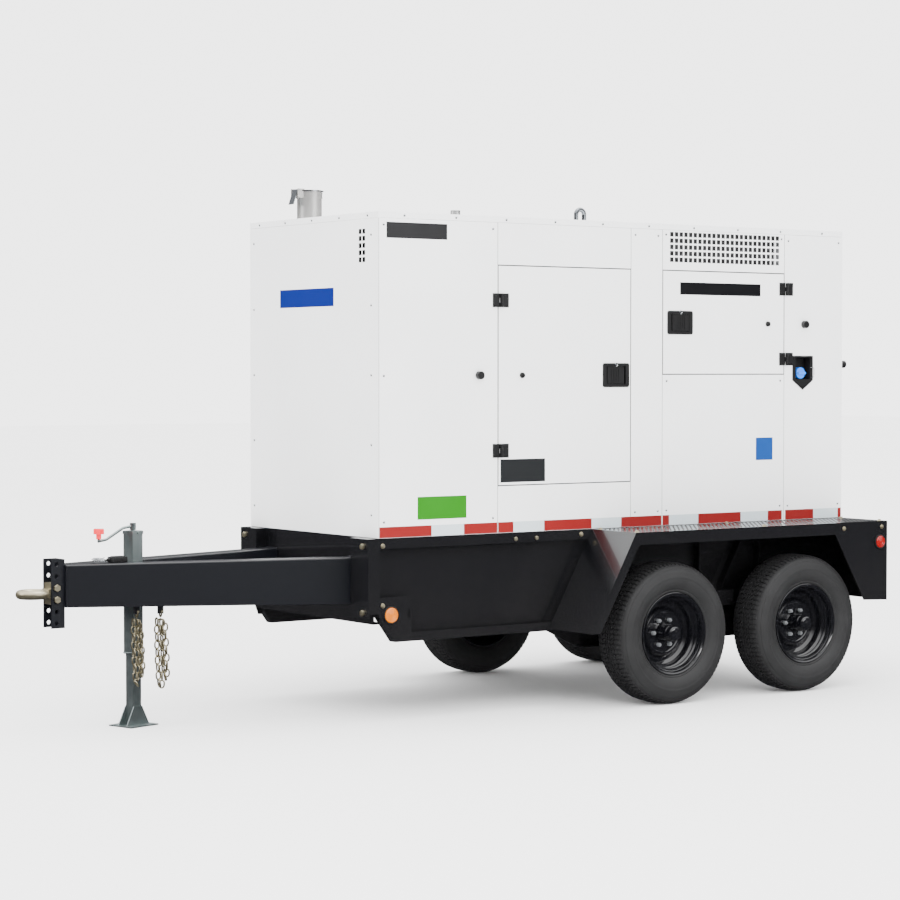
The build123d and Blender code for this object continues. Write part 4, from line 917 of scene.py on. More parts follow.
def fill_seams():
    """Dark rubber strips set in the gaps between panels and round the doors."""
    strip = Build()
    half, deep = 0.0012, (-0.0028, -0.0009)
    full = (HOUSE_LOW + 0.004, PANEL_TOP - 0.001)
    walls = ((-1, (-0.034, 0.812, 1.022, 1.873), ((0, 1.1165), (0, 2.205), (2, 1.665), (2, 2.205))),
             (1, (-0.034, 0.812, 1.022, 1.873), ((0, 1.1165), (0, 2.205), (2, 2.205))),
             (0, (-0.458, 0.458), ((0, 1.0585), (0, 2.3215))))
    for side, uprights, levels in walls:
        for along in uprights:
            face_box(strip, side, (along - half, along + half), deep, full)
        for first, z in levels:
            ends = (uprights[first] + half, uprights[first + 1] - half)
            face_box(strip, side, ends, deep, (z - half, z + half))
    strip.hand_over("panel_seams", "black_rubber", TRAILER, "black_plastic")


def dress_doors():
    """Locks, seals and noise foam for the four doors."""
    for name, side in DOOR_SIDES:
        body = f"{name}_door"
        start, stop, foot, head = door_edges(name, side)
        middle = [(a + b) / 2 for a, b in zip(*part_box(f"{name}_door_paddle"))]
        latch, latch_z = middle[0 if side else 1], middle[2]
        seal, foam = Build(), Build()
        left, right, low, high = (start + SEAL_INSET, stop - SEAL_INSET, foot + SEAL_INSET,
                                  head - SEAL_INSET)
        for along, up in (((left, right), (low, low)), ((right, right), (low, high)),
                          ((left, right), (high, high)), ((left, left), (low, high))):
            face_box(seal, side, (along[0] - SEAL_WIDE / 2, along[1] + SEAL_WIDE / 2),
                     (-DOOR_IN - 0.0094, -DOOR_IN + 0.0006), (up[0] - SEAL_WIDE / 2, up[1] + SEAL_WIDE / 2),
                     0.003)
        for up in ((foot + FOAM_INSET, latch_z - LATCH_CLEAR), (latch_z + LATCH_CLEAR, head - FOAM_INSET)):
            face_box(foam, side, (start + FOAM_INSET, stop - FOAM_INSET),
                     (-0.0035 - FOAM_THICK, -0.0035), up, 0.004)
        lock_cylinder(face_spot(side, latch, 0.004, latch_z + LOCK_RISE), face_way(side), body,
                      f"{name}_lock")
        foam.hand_over(f"{name}_foam", "foam", body, "black_plastic")
        seal.hand_over(f"{name}_seal", "black_rubber", body, "black_plastic")


# ---------------------------------------------------------------- air inlets
def dress_inlets():
    """Foam-faced baffles behind the punched inlets, and pale plates behind the last column of holes that
    paint the light seen through them.
    """
    build, shade = Build(), Build()
    for side in (-1, 1):
        up = (2.225, PANEL_TOP - 0.006)
        face_box(build, side, (at(1790), at(2556)), (-0.045, -0.030), up, 0.003)
        # Painted light: pale grey plates behind the last column of inlet holes stand for lit space seen
        # through the holes.
        face_box(shade, side, (at(2558), at(2598)), (-0.030, -0.0285), up)
    build.box((HOUSE_X + 0.049, -0.52, 2.19), (HOUSE_X + 0.060, -0.39, PANEL_TOP - 0.045), 0.003)
    build.hand_over("inlet_baffles", "foam", TRAILER, "black_plastic")
    shade.hand_over("inlet_shade_plates", "painted_light_grey", TRAILER, "post_steel")


# ---------------------------------------------------------------- wheels and tyres
# Wheel outlines as (radius, height towards the outer face) from the wheel's middle.
RIM_FACE = ((0.050, 0.0065), (0.057, 0.0065), (0.060, 0.0045), (0.098, 0.0045), (0.103, 0.0085),
            (0.113, 0.0085), (0.119, 0.004), (0.125, -0.004), (0.133, -0.012), (0.143, -0.012),
            (0.152, -0.004), (0.160, 0.002),
            (0.1630, 0.010), (0.1632, 0.027), (0.1665, 0.036), (0.1725, 0.041), (0.1760, 0.044),
            (0.1775, 0.050), (0.1825, 0.054), (0.1860, 0.060), (0.1868, 0.070), (0.1885, 0.078),
            (0.1935, 0.0815), (0.1965, 0.084), (0.1985, 0.0885), (0.2030, 0.0905), (0.2055, 0.0920),
            (0.2078, 0.0905), (0.2080, 0.0862))
RIM_BACK = ((0.1975, 0.0850), (0.1912, 0.0838), (0.1908, 0.0440), (0.1680, 0.0300), (0.1680, -0.0300),
            (0.1908, -0.0480), (0.1908, -0.0838), (0.2078, -0.0862), (0.2078, -0.0915), (0.2045, -0.0915),
            (0.2030, -0.0895), (0.1860, -0.0820), (0.1860, -0.0520), (0.1635, -0.0345), (0.1635, -0.0085),
            (0.1560, -0.0060), (0.1490, -0.0110), (0.1430, -0.0165), (0.1330, -0.0165), (0.1200, -0.0060),
            (0.1130, 0.0040), (0.1040, 0.0040), (0.1000, 0.0), (0.050, 0.0))
HUB_FACE = ((0.0, 0.1095), (0.012, 0.1090), (0.0135, 0.1060), (0.028, 0.1050), (0.0335, 0.1020),
            (0.0375, 0.0970),
            (0.0395, 0.0900), (0.0398, 0.0700), (0.0425, 0.0670), (0.0438, 0.0620), (0.0440, 0.0200),
            (0.0490, 0.0080), (0.0495, 0.0066), (0.0495, -0.0020), (0.0890, -0.0020), (0.0890, -0.0260),
            (0.0450, -0.0280), (0.0450, -0.0690), (0.0210, -0.0690), (0.0210, 0.0880), (0.0, 0.0880))
TYRE_SKIN = ((0.1922, 0.0795), (0.2085, 0.0835), (0.2130, 0.0905), (0.2185, 0.0935), (0.2230, 0.0925),
             (0.2300, 0.0985), (0.2440, 0.1050), (0.2600, 0.1095), (0.2740, 0.1112), (0.2800, 0.1105),
             (0.2835, 0.1118), (0.2890, 0.1118), (0.2925, 0.1105), (0.3060, 0.1095), (0.3160, 0.1065),
             (0.3250, 0.1035), (0.3280, 0.1000), (0.3330, 0.0985), (0.3400, 0.0925), (0.3445, 0.0860),
             (0.3480, 0.0740), (0.3500, 0.0570), (0.3515, 0.0300), (0.3520, 0.0))
TYRE_LINING = ((0.3440, 0.0400), (0.3390, 0.0680), (0.3300, 0.0860), (0.3120, 0.0950), (0.2880, 0.0980),
               (0.2640, 0.0970), (0.2400, 0.0910), (0.2160, 0.0780), (0.1922, 0.0660))
# Tread blocks: inner and outer distance from the middle, outer radius at each, lean, share of a pitch.
BLOCKS = ((0.0035, 0.0145, 0.3590, 0.3590, 0.0025, 0.92), (0.0200, 0.0420, 0.3590, 0.3582, 0.0060, 0.78),
          (0.0470, 0.0690, 0.3578, 0.3552, 0.0020, 0.74), (0.0700, 0.0860, 0.3546, 0.3478, -0.0010, 0.74))


def tread_block(build, way, lean_way, block, pitch_angle, depth):
    """One block of a tread row on one side of the middle, wedge-shaped to follow the casing."""
    inner, outer, radius_in, radius_out, lean, share = block
    half = pitch_angle * share / 2
    base = 0.0035
    corners = []
    for offset, radius in ((inner, radius_in), (outer, radius_out)):
        shift = lean * (1 if offset == outer else -1) / 0.358
        for turn in (-half, half):
            for height in (radius - depth - base, radius):
                angle = turn * (0.94 if height == radius else 1.0) + shift * lean_way
                spot = Vector((height * math.sin(angle), way * offset, height * math.cos(angle)))
                corners.append(build.mesh.verts.new(spot))
    order = ((0, 1, 3, 2), (4, 6, 7, 5), (0, 4, 5, 1), (2, 3, 7, 6), (1, 5, 7, 3), (0, 2, 6, 4))
    faces = [build.mesh.faces.new([corners[k] for k in group]) for group in order]
    bmesh.ops.recalc_face_normals(build.mesh, faces=faces)


def make_wheels(sizes):
    """Tyres with a block tread, stepped steel rims, hubs and nuts."""
    nut, up = Build(), (0, 0, 1)
    half = sizes.nut_across / 2 / math.cos(math.pi / 6)
    nut.lathe([(0, 0.0195), (half * 0.50, 0.0195), (half * 0.78, 0.0175), (half, 0.0140), (half, 0.0),
               (0, 0.0)], (0, 0, 0), up, 6)
    nut.lathe([(0, 0.0225), (0.0050, 0.0225), (0.0060, 0.0215), (0.0060, 0.018), (0, 0.018)],
              (0, 0, 0), up, 12)
    nut_part = nut.object("nut_part")
    for axle in AXLES:
        for hand, side in SIDES:
            centre = Vector([(a + b) / 2 for a, b in zip(*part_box(f"tyre_{axle}_{hand}"))])
            body = f"{axle}_{hand}_wheel"
            out = (0, side, 0)
            casing = Build()
            skin = list(TYRE_SKIN) + [(r, -h) for r, h in reversed(TYRE_SKIN[:-1])]
            lining = [(r, -h) for r, h in reversed(TYRE_LINING)] + list(TYRE_LINING)
            casing.lathe(skin + lining, centre, out, 96)
            row = Build()
            pitch = math.tau / sizes.tread_pitches
            for block in BLOCKS:
                for way in (-1, 1):
                    tread_block(row, way, way * side, block, pitch, sizes.tread_depth)
            rubber = finish_of("tyre_rubber")
            tread = grown(row.object("tread_row", rubber), "repeat_round", rubber, Count=sizes.tread_pitches,
                          Centre=tuple(centre))
            casing.mesh.from_mesh(tread)
            fit(casing.object(f"tyre_{axle}_{hand}_detailed", rubber, 28.0), body, "tyre",
                f"tyre_{axle}_{hand}")
            rim = Build()
            rim.lathe(list(RIM_FACE) + list(RIM_BACK), centre, out, 96)
            stem = centre + Vector((0.176 * math.sin(0.5), side * 0.048, 0.176 * math.cos(0.5)))
            rim.tube([stem + Vector((-dx, side * dy, -dz))
                      for dx, dy, dz in ((0, 0, 0), (0.006, 0.02, 0.012), (0.010, 0.032, 0.02))], 0.0042)
            rim.hand_over(f"rim_{axle}_{hand}", "rim_black", body, "rim_paint", f"wheel_{axle}_{hand}",
                          smooth=32.0)
            hub = Build()
            hub.lathe(list(HUB_FACE), centre, out, 48)
            hub.lathe([(0.092, -0.010), (0.152, -0.010), (0.152, -0.072), (0.146, -0.072), (0.146, -0.016),
                       (0.092, -0.016)], centre, out, 64)
            hub.hand_over(f"hub_{axle}_{hand}", "rim_black", body, "rim_paint", smooth=32.0)
            spots = []
            for step in range(6):
                angle = math.tau * step / 6 + math.pi / 6
                reach = Vector((math.sin(angle), 0, math.cos(angle))) * sizes.nut_circle
                spots.append((tuple(centre + reach + Vector((0, side * 0.0045, 0))), out))
            set_parts(f"wheel_nuts_{axle}_{hand}", spots, nut_part, finish_of("nut_silver"), body,
                      "rim_paint")
    bpy.data.objects.remove(nut_part)


# ---------------------------------------------------------------- drawbar fittings
def chain_path(low, high, side):
    """A narrow double loop that hangs inside a chain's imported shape."""
    middle = (low[1] + high[1]) / 2
    top, bottom = high[2] - 0.026, low[2] + 0.028
    x0 = (low[0] + high[0]) / 2
    half = (top + bottom) / 2
    runs = [(-0.020, top - 0.034, 0.003), (-0.019, half, 0.003), (-0.012, bottom + 0.050, 0.003),
            (-0.007, bottom + 0.010, 0.0), (0.002, bottom + 0.002, -0.003), (0.006, bottom + 0.040, -0.003),
            (0.000, half, -0.003), (-0.005, top - 0.050, -0.003), (0.000, top - 0.022, 0.0),
            (0.008, top - 0.026, 0.003), (0.012, top - 0.062, 0.003), (0.015, half, 0.003),
            (0.019, bottom + 0.100, 0.003), (0.023, bottom + 0.048, 0.0), (0.029, bottom + 0.042, -0.003),
            (0.032, bottom + 0.090, -0.003), (0.029, half, -0.003), (0.022, top - 0.060, -0.003)]
    return [Vector((x0 + x, middle + y * side, z)) for x, z, y in runs]


def smooth_path(points):
    """The points' own smooth line, read from a NURBS curve, as a polyline object."""
    curve = bpy.data.curves.new("path", "CURVE")
    curve.dimensions = "3D"
    curve.resolution_u = 10
    spline = curve.splines.new("NURBS")
    spline.points.add(len(points) - 1)
    for knot, point in zip(spline.points, points):
        knot.co = (*point, 1.0)
    spline.order_u = 3
    spline.use_endpoint_u = True
    holder = shown("path", curve)
    mesh = evaluated_mesh(holder)
    bpy.data.objects.remove(holder)
    return shown("path_line", mesh)


def smooth_wire(points, radius):
    """A build that holds a thin wire along the points' smooth line."""
    line = smooth_path(points)
    build = Build().tube([vert.co for vert in line.data.vertices], radius, 8)
    bpy.data.objects.remove(line)
    return build


def link_part(trim):
    """One welded chain link, its length along Z."""
    bar, pitch = trim.chain_bar, trim.chain_pitch
    round_r = 0.0108
    straight = (pitch + 2 * bar) / 2 - bar - round_r
    points = []
    for centre, start in ((straight, 0.0), (-straight, math.pi)):
        for step in range(5):
            angle = start + math.pi * step / 4
            points.append((round_r * math.cos(angle), 0, centre + round_r * math.sin(angle)))
    return Build().tube(points, bar, 8, closed=True).object("link_part", None, 60)


def make_chains(trim):
    """Two safety chains gathered in loops under the drawbar, each on a shackle."""
    part = link_part(trim)
    gold = finish_of("yellow_zinc")
    for hand, side in SIDES:
        node = f"safety_chain_{hand}"
        links = grown(smooth_path(chain_path(*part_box(node), side)), "string_along", gold, Part=part,
                      Pitch=trim.chain_pitch)
        fit(mesh_object(f"chain_links_{hand}", links, 60), f"chain_{hand}", "gold_zinc", node)
        pin = Vector(joint_place(f"chain_{hand}_swing"))
        bow = [(-0.0105, 0), (-0.0112, 0.012), (-0.006, 0.024), (0, 0.027), (0.006, 0.024), (0.0112, 0.012),
               (0.0105, 0)]
        shackle = Build()
        shackle.tube([pin + Vector((0, across, -drop)) for across, drop in bow], 0.0042)
        shackle.tube([pin + Vector((0, reach, 0)) for reach in (-0.0175, 0.0175)], 0.0058, 14)
        fit(shackle.object(f"chain_shackle_{hand}", gold), f"chain_{hand}", "gold_zinc")
    bpy.data.objects.remove(part)


def make_breakaway():
    """The breakaway switch and its pull cable, which lies in a loose coil on the drawbar."""
    low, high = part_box("breakaway_switch")
    arm_top = low[2]
    box_x0 = high[0] - 0.088
    case = Build()
    case.box((box_x0, -0.060, arm_top), (high[0], -0.020, arm_top + 0.027), 0.005)
    case.box((box_x0 + 0.012, -0.054, arm_top + 0.026), (high[0] - 0.012, -0.026, arm_top + 0.030), 0.0018)
    for k in range(5):
        x = box_x0 + 0.018 + 0.013 * k
        case.box((x, -0.0612, arm_top + 0.004), (x + 0.005, -0.0188, arm_top + 0.023), 0.001)
    case.lathe([(0, 0.016), (0.004, 0.016), (0.007, 0.010), (0.009, 0.0), (0, 0.0)],
               (box_x0 + 0.001, -0.040, arm_top + 0.014), (-1, 0, 0), 20)
    case.hand_over("breakaway_case", "black_moulding", TRAILER, "black_plastic", "breakaway_switch")
    start = Vector((box_x0 - 0.012, -0.040, arm_top + 0.014))
    coil_x = low[0] + 0.044
    turns, steps = 5, 20
    path = [start, start + Vector((-0.008, 0, 0.002))]
    for k in range(turns * steps + 1):
        angle = math.tau * k / steps
        radius = 0.030 + 0.0035 * math.sin(k * 0.37)
        rise = 0.0065 + 0.0030 * k / steps + 0.003 * math.sin(angle * 0.5 + k * 0.05)
        path.append(Vector((coil_x + radius * math.cos(angle), -0.040 + 0.8 * radius * math.sin(angle),
                            arm_top + rise)))
    cable = Build().tube(path, 0.0021, 7)
    eye = [math.tau * k / 18 for k in range(18)]
    cable.tube([(coil_x - 0.012 + 0.016 * math.cos(angle), -0.046 + 0.016 * math.sin(angle), arm_top + 0.024)
                for angle in eye], 0.0017, 7, closed=True)
    cable.hand_over("breakaway_cable", "bright_steel", TRAILER, "black_plastic", smooth=60)


JACK_TURN = math.radians(15.4)
CORNERS = ((-1, -1), (1, -1), (1, 1), (-1, 1))


def dress_jack():
    """The jack tube's cap, its collar bead and the snap pin."""
    jack_low, jack_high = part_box("jack_tube")
    x, y = joint_place("jack_crank_turn")[:2]
    along = Vector((math.cos(JACK_TURN), math.sin(JACK_TURN), 0))
    across = Vector((-math.sin(JACK_TURN), math.cos(JACK_TURN), 0))
    middle = Vector((x, y, 0))

    def spot(a, b, z):
        return middle + along * a + across * b + Vector((0, 0, z))

    trim = Build()
    top = jack_high[2]
    trim.prism([spot(a * 0.0345, b * 0.0345, top - 0.016) for a, b in CORNERS], (0, 0, 1), 0.014)
    for a in (-1, 1):
        trim.lathe([(0, 0.004), (0.0045, 0.004), (0.0055, 0.002), (0.0055, 0), (0, 0)],
                   spot(0, a * 0.0345, top - 0.009), across * a, 12)
    trim.tube([spot(a * 0.033, b * 0.033, jack_low[2] + 0.006) for a, b in CORNERS], 0.003, 6, closed=True)
    trim.hand_over("jack_collars", "clear_zinc", TRAILER, "zinc")
    bail = smooth_wire([spot(*place) for place in (
        (0, -0.052, 0.376), (-0.030, -0.052, 0.366), (-0.046, -0.052, 0.342), (-0.030, -0.052, 0.316),
        (0.002, -0.052, 0.312), (0.006, -0.042, 0.320))], 0.0014)
    bail.lathe([(0, 0.006), (0.0082, 0.006), (0.0092, 0.004), (0.0092, 0.0), (0, 0.0)],
               spot(0, -0.048, 0.372), -across, 18)
    bail.hand_over("jack_snap_pin", "clear_zinc", TRAILER, "zinc")


def weld_bead(build, start, stop, radius=0.004, step=0.006):
    """A rippled weld along a straight seam."""
    start, stop = Vector(start), Vector(stop)
    count = max(2, int((stop - start).length / step))
    build.tube([start.lerp(stop, k / count) for k in range(count + 1)],
               [radius * (1.0 if k % 2 else 0.72) for k in range(count + 1)], 6)


def make_welds():
    """Weld beads where the drawbar meets the hitch channel and the base."""
    build = Build()
    hitch_x, base_x = at(-1381) + 0.001, HOUSE_X - 0.001
    for side in (-1, 1):
        weld_bead(build, (hitch_x, side * 0.060, 0.590), (hitch_x, side * 0.060, 0.783))
        weld_bead(build, (base_x, side * 0.4385, 0.564), (base_x, side * 0.4385, 0.783))
        weld_bead(build, (base_x, side * 0.334, 0.785), (base_x, side * 0.438, 0.785))
    build.hand_over("drawbar_welds", "drawbar_satin", TRAILER, "drawbar_paint", smooth=60)


# ---------------------------------------------------------------- lamps
def make_lamps():
    """Amber, red and tail lamps, each a ringed lens in a rubber grommet."""
    fender_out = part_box("fenders")[1][1]
    places = []
    for hand, side in SIDES:
        out = face_way(side)
        places += [(f"amber_{hand}", (at(68), side * SIDE_Y, 0.514), out, 0.043, 0.020, "lens_amber"),
                   (f"red_{hand}", (at(2984), side * fender_out, 0.772), out, 0.038, 0.0148, "lens_red"),
                   (f"tail_{hand}", (HOUSE_END, side * 0.820, 0.720), (1, 0, 0), 0.055, 0.018, "lens_red")]
    for number, (name, place, out, radius, reach, lens_name) in enumerate(places):
        grommet = Build()
        grommet.lathe([(radius - 0.006, 0.0), (radius - 0.006, 0.0075), (radius - 0.004, 0.0088),
                       (radius - 0.001, 0.0082), (radius, 0.0060), (radius, 0.0)], place, out, 48)
        grommet.hand_over(f"lamp_grommet_{name}", "black_rubber", TRAILER, "black_plastic",
                          *(["marker_lamps"] if number == 0 else []))
        r = radius - 0.0062
        profile = [(0, reach), (r * 0.22, reach)]
        for ring in range(4):
            a = r * (0.26 + 0.16 * ring)
            drop = reach * (0.02 + 0.05 * ring)
            profile += [(a, reach - drop - 0.0008), (a + r * 0.04, reach - drop),
                        (a + r * 0.10, reach - drop)]
        profile += [(r * 0.93, reach * 0.72), (r, reach * 0.50), (r, 0.0), (0, 0.0)]
        lens = Build().lathe(profile, place, out, 48)
        lens.hand_over(f"lamp_lens_{name}", lens_name, TRAILER, "lamp_lens")


# ---------------------------------------------------------------- fender decks and roof
def make_decks(trim):
    """Rows of raised grip bumps on the fender decks."""
    r = trim.bump_radius
    bump = Build().lathe([(0, 0.0022), (r * 0.5, 0.0019), (r * 0.85, 0.0009), (r, 0.0), (0, -0.0006)],
                         (0, 0, 0), (0, 0, 1), 10).object("bump_part")
    deck_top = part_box("fenders")[1][2]
    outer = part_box("fenders")[1][1]
    first, last = at(1330), at(3010)
    for hand, side in SIDES:
        holder = shown("grid", bpy.data.meshes.new("grid"))
        mesh = grown(holder, "set_on_grid", finish_of("deck_black"), Part=bump, Length=last - first,
                     Width=outer - SIDE_Y - 0.07, Columns=61, Rows=9,
                     Centre=((first + last) / 2, side * (outer + SIDE_Y) / 2, deck_top))
        fit(mesh_object(f"deck_bumps_{hand}", mesh, 50), TRAILER, "black_paint")
    bpy.data.objects.remove(bump)


def dress_roof():
    """The stack's clamp bands and its collar on the roof."""
    pin = joint_place("rain_cap_flap")
    x, y, up = pin[0] + 0.080, pin[1], (0, 0, 1)
    build = Build()
    for height in (2.5665, 2.5905):
        build.lathe([(0.0655, -0.0025), (0.0680, -0.0018), (0.0680, 0.0018), (0.0655, 0.0025)],
                    (x, y, height), up, 64)
    build.hand_over("stack_clamp", "stainless", TRAILER, "stainless")
    collar = Build().lathe([(0.0645, 0.0), (0.0645, 0.016), (0.0665, 0.018), (0.070, 0.016), (0.076, 0.005),
                            (0.092, 0.0035), (0.094, 0.0)], (x, y, ROOF_HIGH), up, 64)
    collar.hand_over("stack_collar", "black_rubber", TRAILER, "black_plastic")


# ---------------------------------------------------------------- machinery and console
def dress_machinery():
    """Pulleys, belt, filters, cover bolts and battery clamps on the power unit."""
    iron, black = finish_of("engine_grey"), finish_of("black_rubber")
    build = Build()
    face = at(845)
    pulleys = ((0.0, 1.240, 0.082), (0.150, 1.420, 0.045), (-0.150, 1.400, 0.050))
    for y, z, r in pulleys:
        profile = [(0, 0.010), (r * 0.35, 0.010), (r * 0.40, 0.002), (r * 0.80, 0.002), (r * 0.86, 0.012),
                   (r, 0.012), (r * 0.97, 0.006), (r, 0.0), (r, -0.014), (r * 0.86, -0.014), (0, -0.014)]
        build.lathe(profile, (face - 0.014, y, z), (-1, 0, 0), 40)
    fit(build.object("engine_pulleys", iron), TRAILER, "engine_paint")
    belt = Build()
    tops = []
    for y, z, r, start, stop in ((0.150, 1.420, 0.047, -60, 95), (-0.150, 1.400, 0.052, 85, 235),
                                 (0.0, 1.240, 0.084, 215, 325)):
        for k in range(9):
            angle = math.radians(start + (stop - start) * k / 8)
            tops.append((y + r * math.cos(angle), z + r * math.sin(angle)))
    rings = [[belt.mesh.verts.new((face - 0.022 + shift, y * share, 1.35 + (z - 1.35) * share))
              for y, z in tops] for shift, share in ((0, 1), (0.014, 1), (0.014, 0.955), (0, 0.955))]
    faces = []
    for k in range(len(tops)):
        n = (k + 1) % len(tops)
        for a, b in zip(rings, rings[1:] + rings[:1]):
            faces.append(belt.mesh.faces.new((a[k], a[n], b[n], b[k])))
    bmesh.ops.recalc_face_normals(belt.mesh, faces=faces)
    fit(belt.object("fan_belt", black), TRAILER, "black_plastic")
    filters = Build()
    profile = [(0, 0.150), (0.030, 0.150), (0.041, 0.143), (0.044, 0.130), (0.044, 0.020), (0.047, 0.012),
               (0.047, 0.0), (0, 0.0)]
    for station, y in ((1010, -0.235), (1130, -0.235), (1480, 0.235)):
        x, (y0, y1) = at(station), sorted((y, y * 0.70))
        filters.lathe(profile, (x, y, 1.44), (0, 0, -1), 36)
        filters.box((x - 0.03, y0, 1.44), (x + 0.03, y1, 1.475), 0.006)
    filters.hand_over("engine_filters", "film_white", TRAILER, "white_paint")
    bolt = bolt_part()
    spots = [((at(945 + 112 * k), side * 0.105, 1.7405), (0, 0, 1)) for k in range(6) for side in (-1, 1)]
    spots += [((at(920 + 125 * k), side * 0.1705, z), (0, side, 0)) for k in range(6)
              for side in (-1, 1) for z in (1.19, 1.575)]
    set_parts("engine_bolts", spots, bolt, finish_of("clear_zinc"), TRAILER, "zinc", 0.9)
    bpy.data.objects.remove(bolt)
    tray = Build()
    low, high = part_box("battery")
    for shift in (-0.075, 0.075):
        cx = (low[0] + high[0]) / 2 + shift
        tray.lathe([(0, 0.020), (0.010, 0.020), (0.011, 0.0), (0, 0.0)], (cx, -0.48, high[2] - 0.022),
                   (0, 0, 1), 20)
        tray.box((cx - 0.016, -0.496, high[2] - 0.016), (cx + 0.016, -0.462, high[2] - 0.004), 0.003)
    tray.hand_over("battery_clamps", "red_plastic", TRAILER, "red_plastic")


GAUGE_Z = 1.960
TICK = ((0.018, -0.0007), (0.023, -0.0007), (0.023, 0.0007), (0.018, 0.0007))
POINTER = ((-0.005, -0.0012), (0.019, -0.0003), (0.019, 0.0003), (-0.005, 0.0012))


def hand_outline(face, y, angle, corners):
    """A flat mark on a gauge: (distance from its centre, offset) corners turned by an angle."""
    c, s = math.cos(angle), math.sin(angle)
    return [(face, y + c * r - s * w, GAUGE_Z + s * r + c * w) for r, w in corners]


def dress_console():
    """Screen, gauges, lamps, switches and power sockets on the control panel."""
    face, out = at(2950), (1, 0, 0)
    bezel, glass, dial, chrome, dark = Build(), Build(), Build(), Build(), Build()
    bezel.box((face + 0.003, -0.118, 1.962), (face + 0.010, 0.118, 2.148), 0.003)
    glass.box((face + 0.0095, -0.085, 1.995), (face + 0.0112, 0.085, 2.125), 0.0006)
    for k in range(6):
        y = -0.090 + 0.036 * k
        dark.box((face + 0.0095, y - 0.012, 1.968), (face + 0.0125, y + 0.012, 1.984), 0.0015)
    for y in (-0.28, -0.20, 0.20, 0.28):
        bezel.lathe([(0.0255, 0.0), (0.0255, 0.012), (0.028, 0.0135), (0.0315, 0.012), (0.0325, 0.0)],
                    (face, y, GAUGE_Z), out, 40)
        dial.lathe([(0, 0.0092), (0.0255, 0.0092), (0.0255, 0.006), (0, 0.006)], (face, y, GAUGE_Z), out, 40)
        for tick in range(9):
            dark.prism(hand_outline(face + 0.0093, y, math.radians(-30 + 30 * tick), TICK), out, 0.0004)
        chrome.prism(hand_outline(face + 0.0098, y, 2.2, POINTER), out, 0.0006)
    for k in range(4):
        spot = (face, -0.30 + 0.2 * k, 1.830)
        bezel.lathe([(0, 0.014), (0.026, 0.014), (0.030, 0.010), (0.032, 0.0), (0, 0.0)], spot, out, 32)
        dark.lathe([(0, 0.017), (0.018, 0.017), (0.020, 0.013), (0, 0.013)], spot, out, 24)
    for k in range(5):
        spot = (face, -0.32 + 0.16 * k, 1.480)
        bezel.lathe([(0, 0.030), (0.030, 0.030), (0.033, 0.026), (0.033, 0.008), (0.042, 0.005),
                     (0.043, 0.0), (0, 0.0)], spot, out, 36)
        chrome.lathe([(0.012, 0.033), (0.018, 0.033), (0.018, 0.029), (0.012, 0.029)], spot, out, 28)
    for build, name, finish, slot in ((bezel, "bezels", "black_moulding", "black_plastic"),
                                      (glass, "screen", "lens_screen", "panel_grey"),
                                      (dial, "dials", "film_white", "white_paint"),
                                      (dark, "marks", "film_black", "black_plastic"),
                                      (chrome, "pointers", "bright_steel", "zinc")):
        build.hand_over(f"console_{name}", finish, TRAILER, slot)


# ---------------------------------------------------------------- fluid filler
def dress_filler():
    """The keeper cable beside the filler and the cap's finger ribs."""
    x, z = joint_place("def_cap_turn")[::2]
    ribs = Build()
    for step in range(20):
        angle = math.tau * step / 20
        spot = Vector((x + 0.0298 * math.cos(angle), -SIDE_Y, z + 0.0298 * math.sin(angle)))
        ribs.tube([spot + Vector((0, 0.024, 0)), spot + Vector((0, 0.001, 0))], 0.0017, 6)
    ribs.hand_over("filler_cap_ribs", "blue_plastic", "def_cap", "blue_plastic")
    keeper = smooth_wire([face_spot(-1, at(station), out, height) for station, out, height in (
        (2805, 0.004, 1.700), (2819, 0.006, 1.708), (2829, 0.005, 1.690), (2827, 0.004, 1.655),
        (2813, 0.004, 1.640), (2801, 0.0045, 1.648))], 0.0013)
    keeper.hand_over("filler_keeper", "bright_steel", TRAILER, "zinc", smooth=60)


# ---------------------------------------------------------------- stage
def area_light(name, place, target, size, power, mirrored=True):
    """A soft rectangular light aimed at a point."""
    data = bpy.data.lights.new(name, "AREA")
    data.shape = "RECTANGLE"
    data.size, data.size_y = size
    data.energy = power
    made = shown(name, data)
    made.location = place
    made.rotation_euler = (Vector(target) - Vector(place)).to_track_quat("-Z", "Y").to_euler()
    made.visible_glossy = mirrored


# What mirrors in the gloss: a room that is dark near the floor and pale overhead.
ROOM_TONES = ((0.0, (0.02, 0.02, 0.022, 1)), (0.16, (0.008, 0.008, 0.00816, 1)),
              (0.34, (0.07, 0.07, 0.0714, 1)), (0.52, (0.45, 0.45, 0.459, 1)), (0.75, (0.6, 0.6, 0.6, 1)))


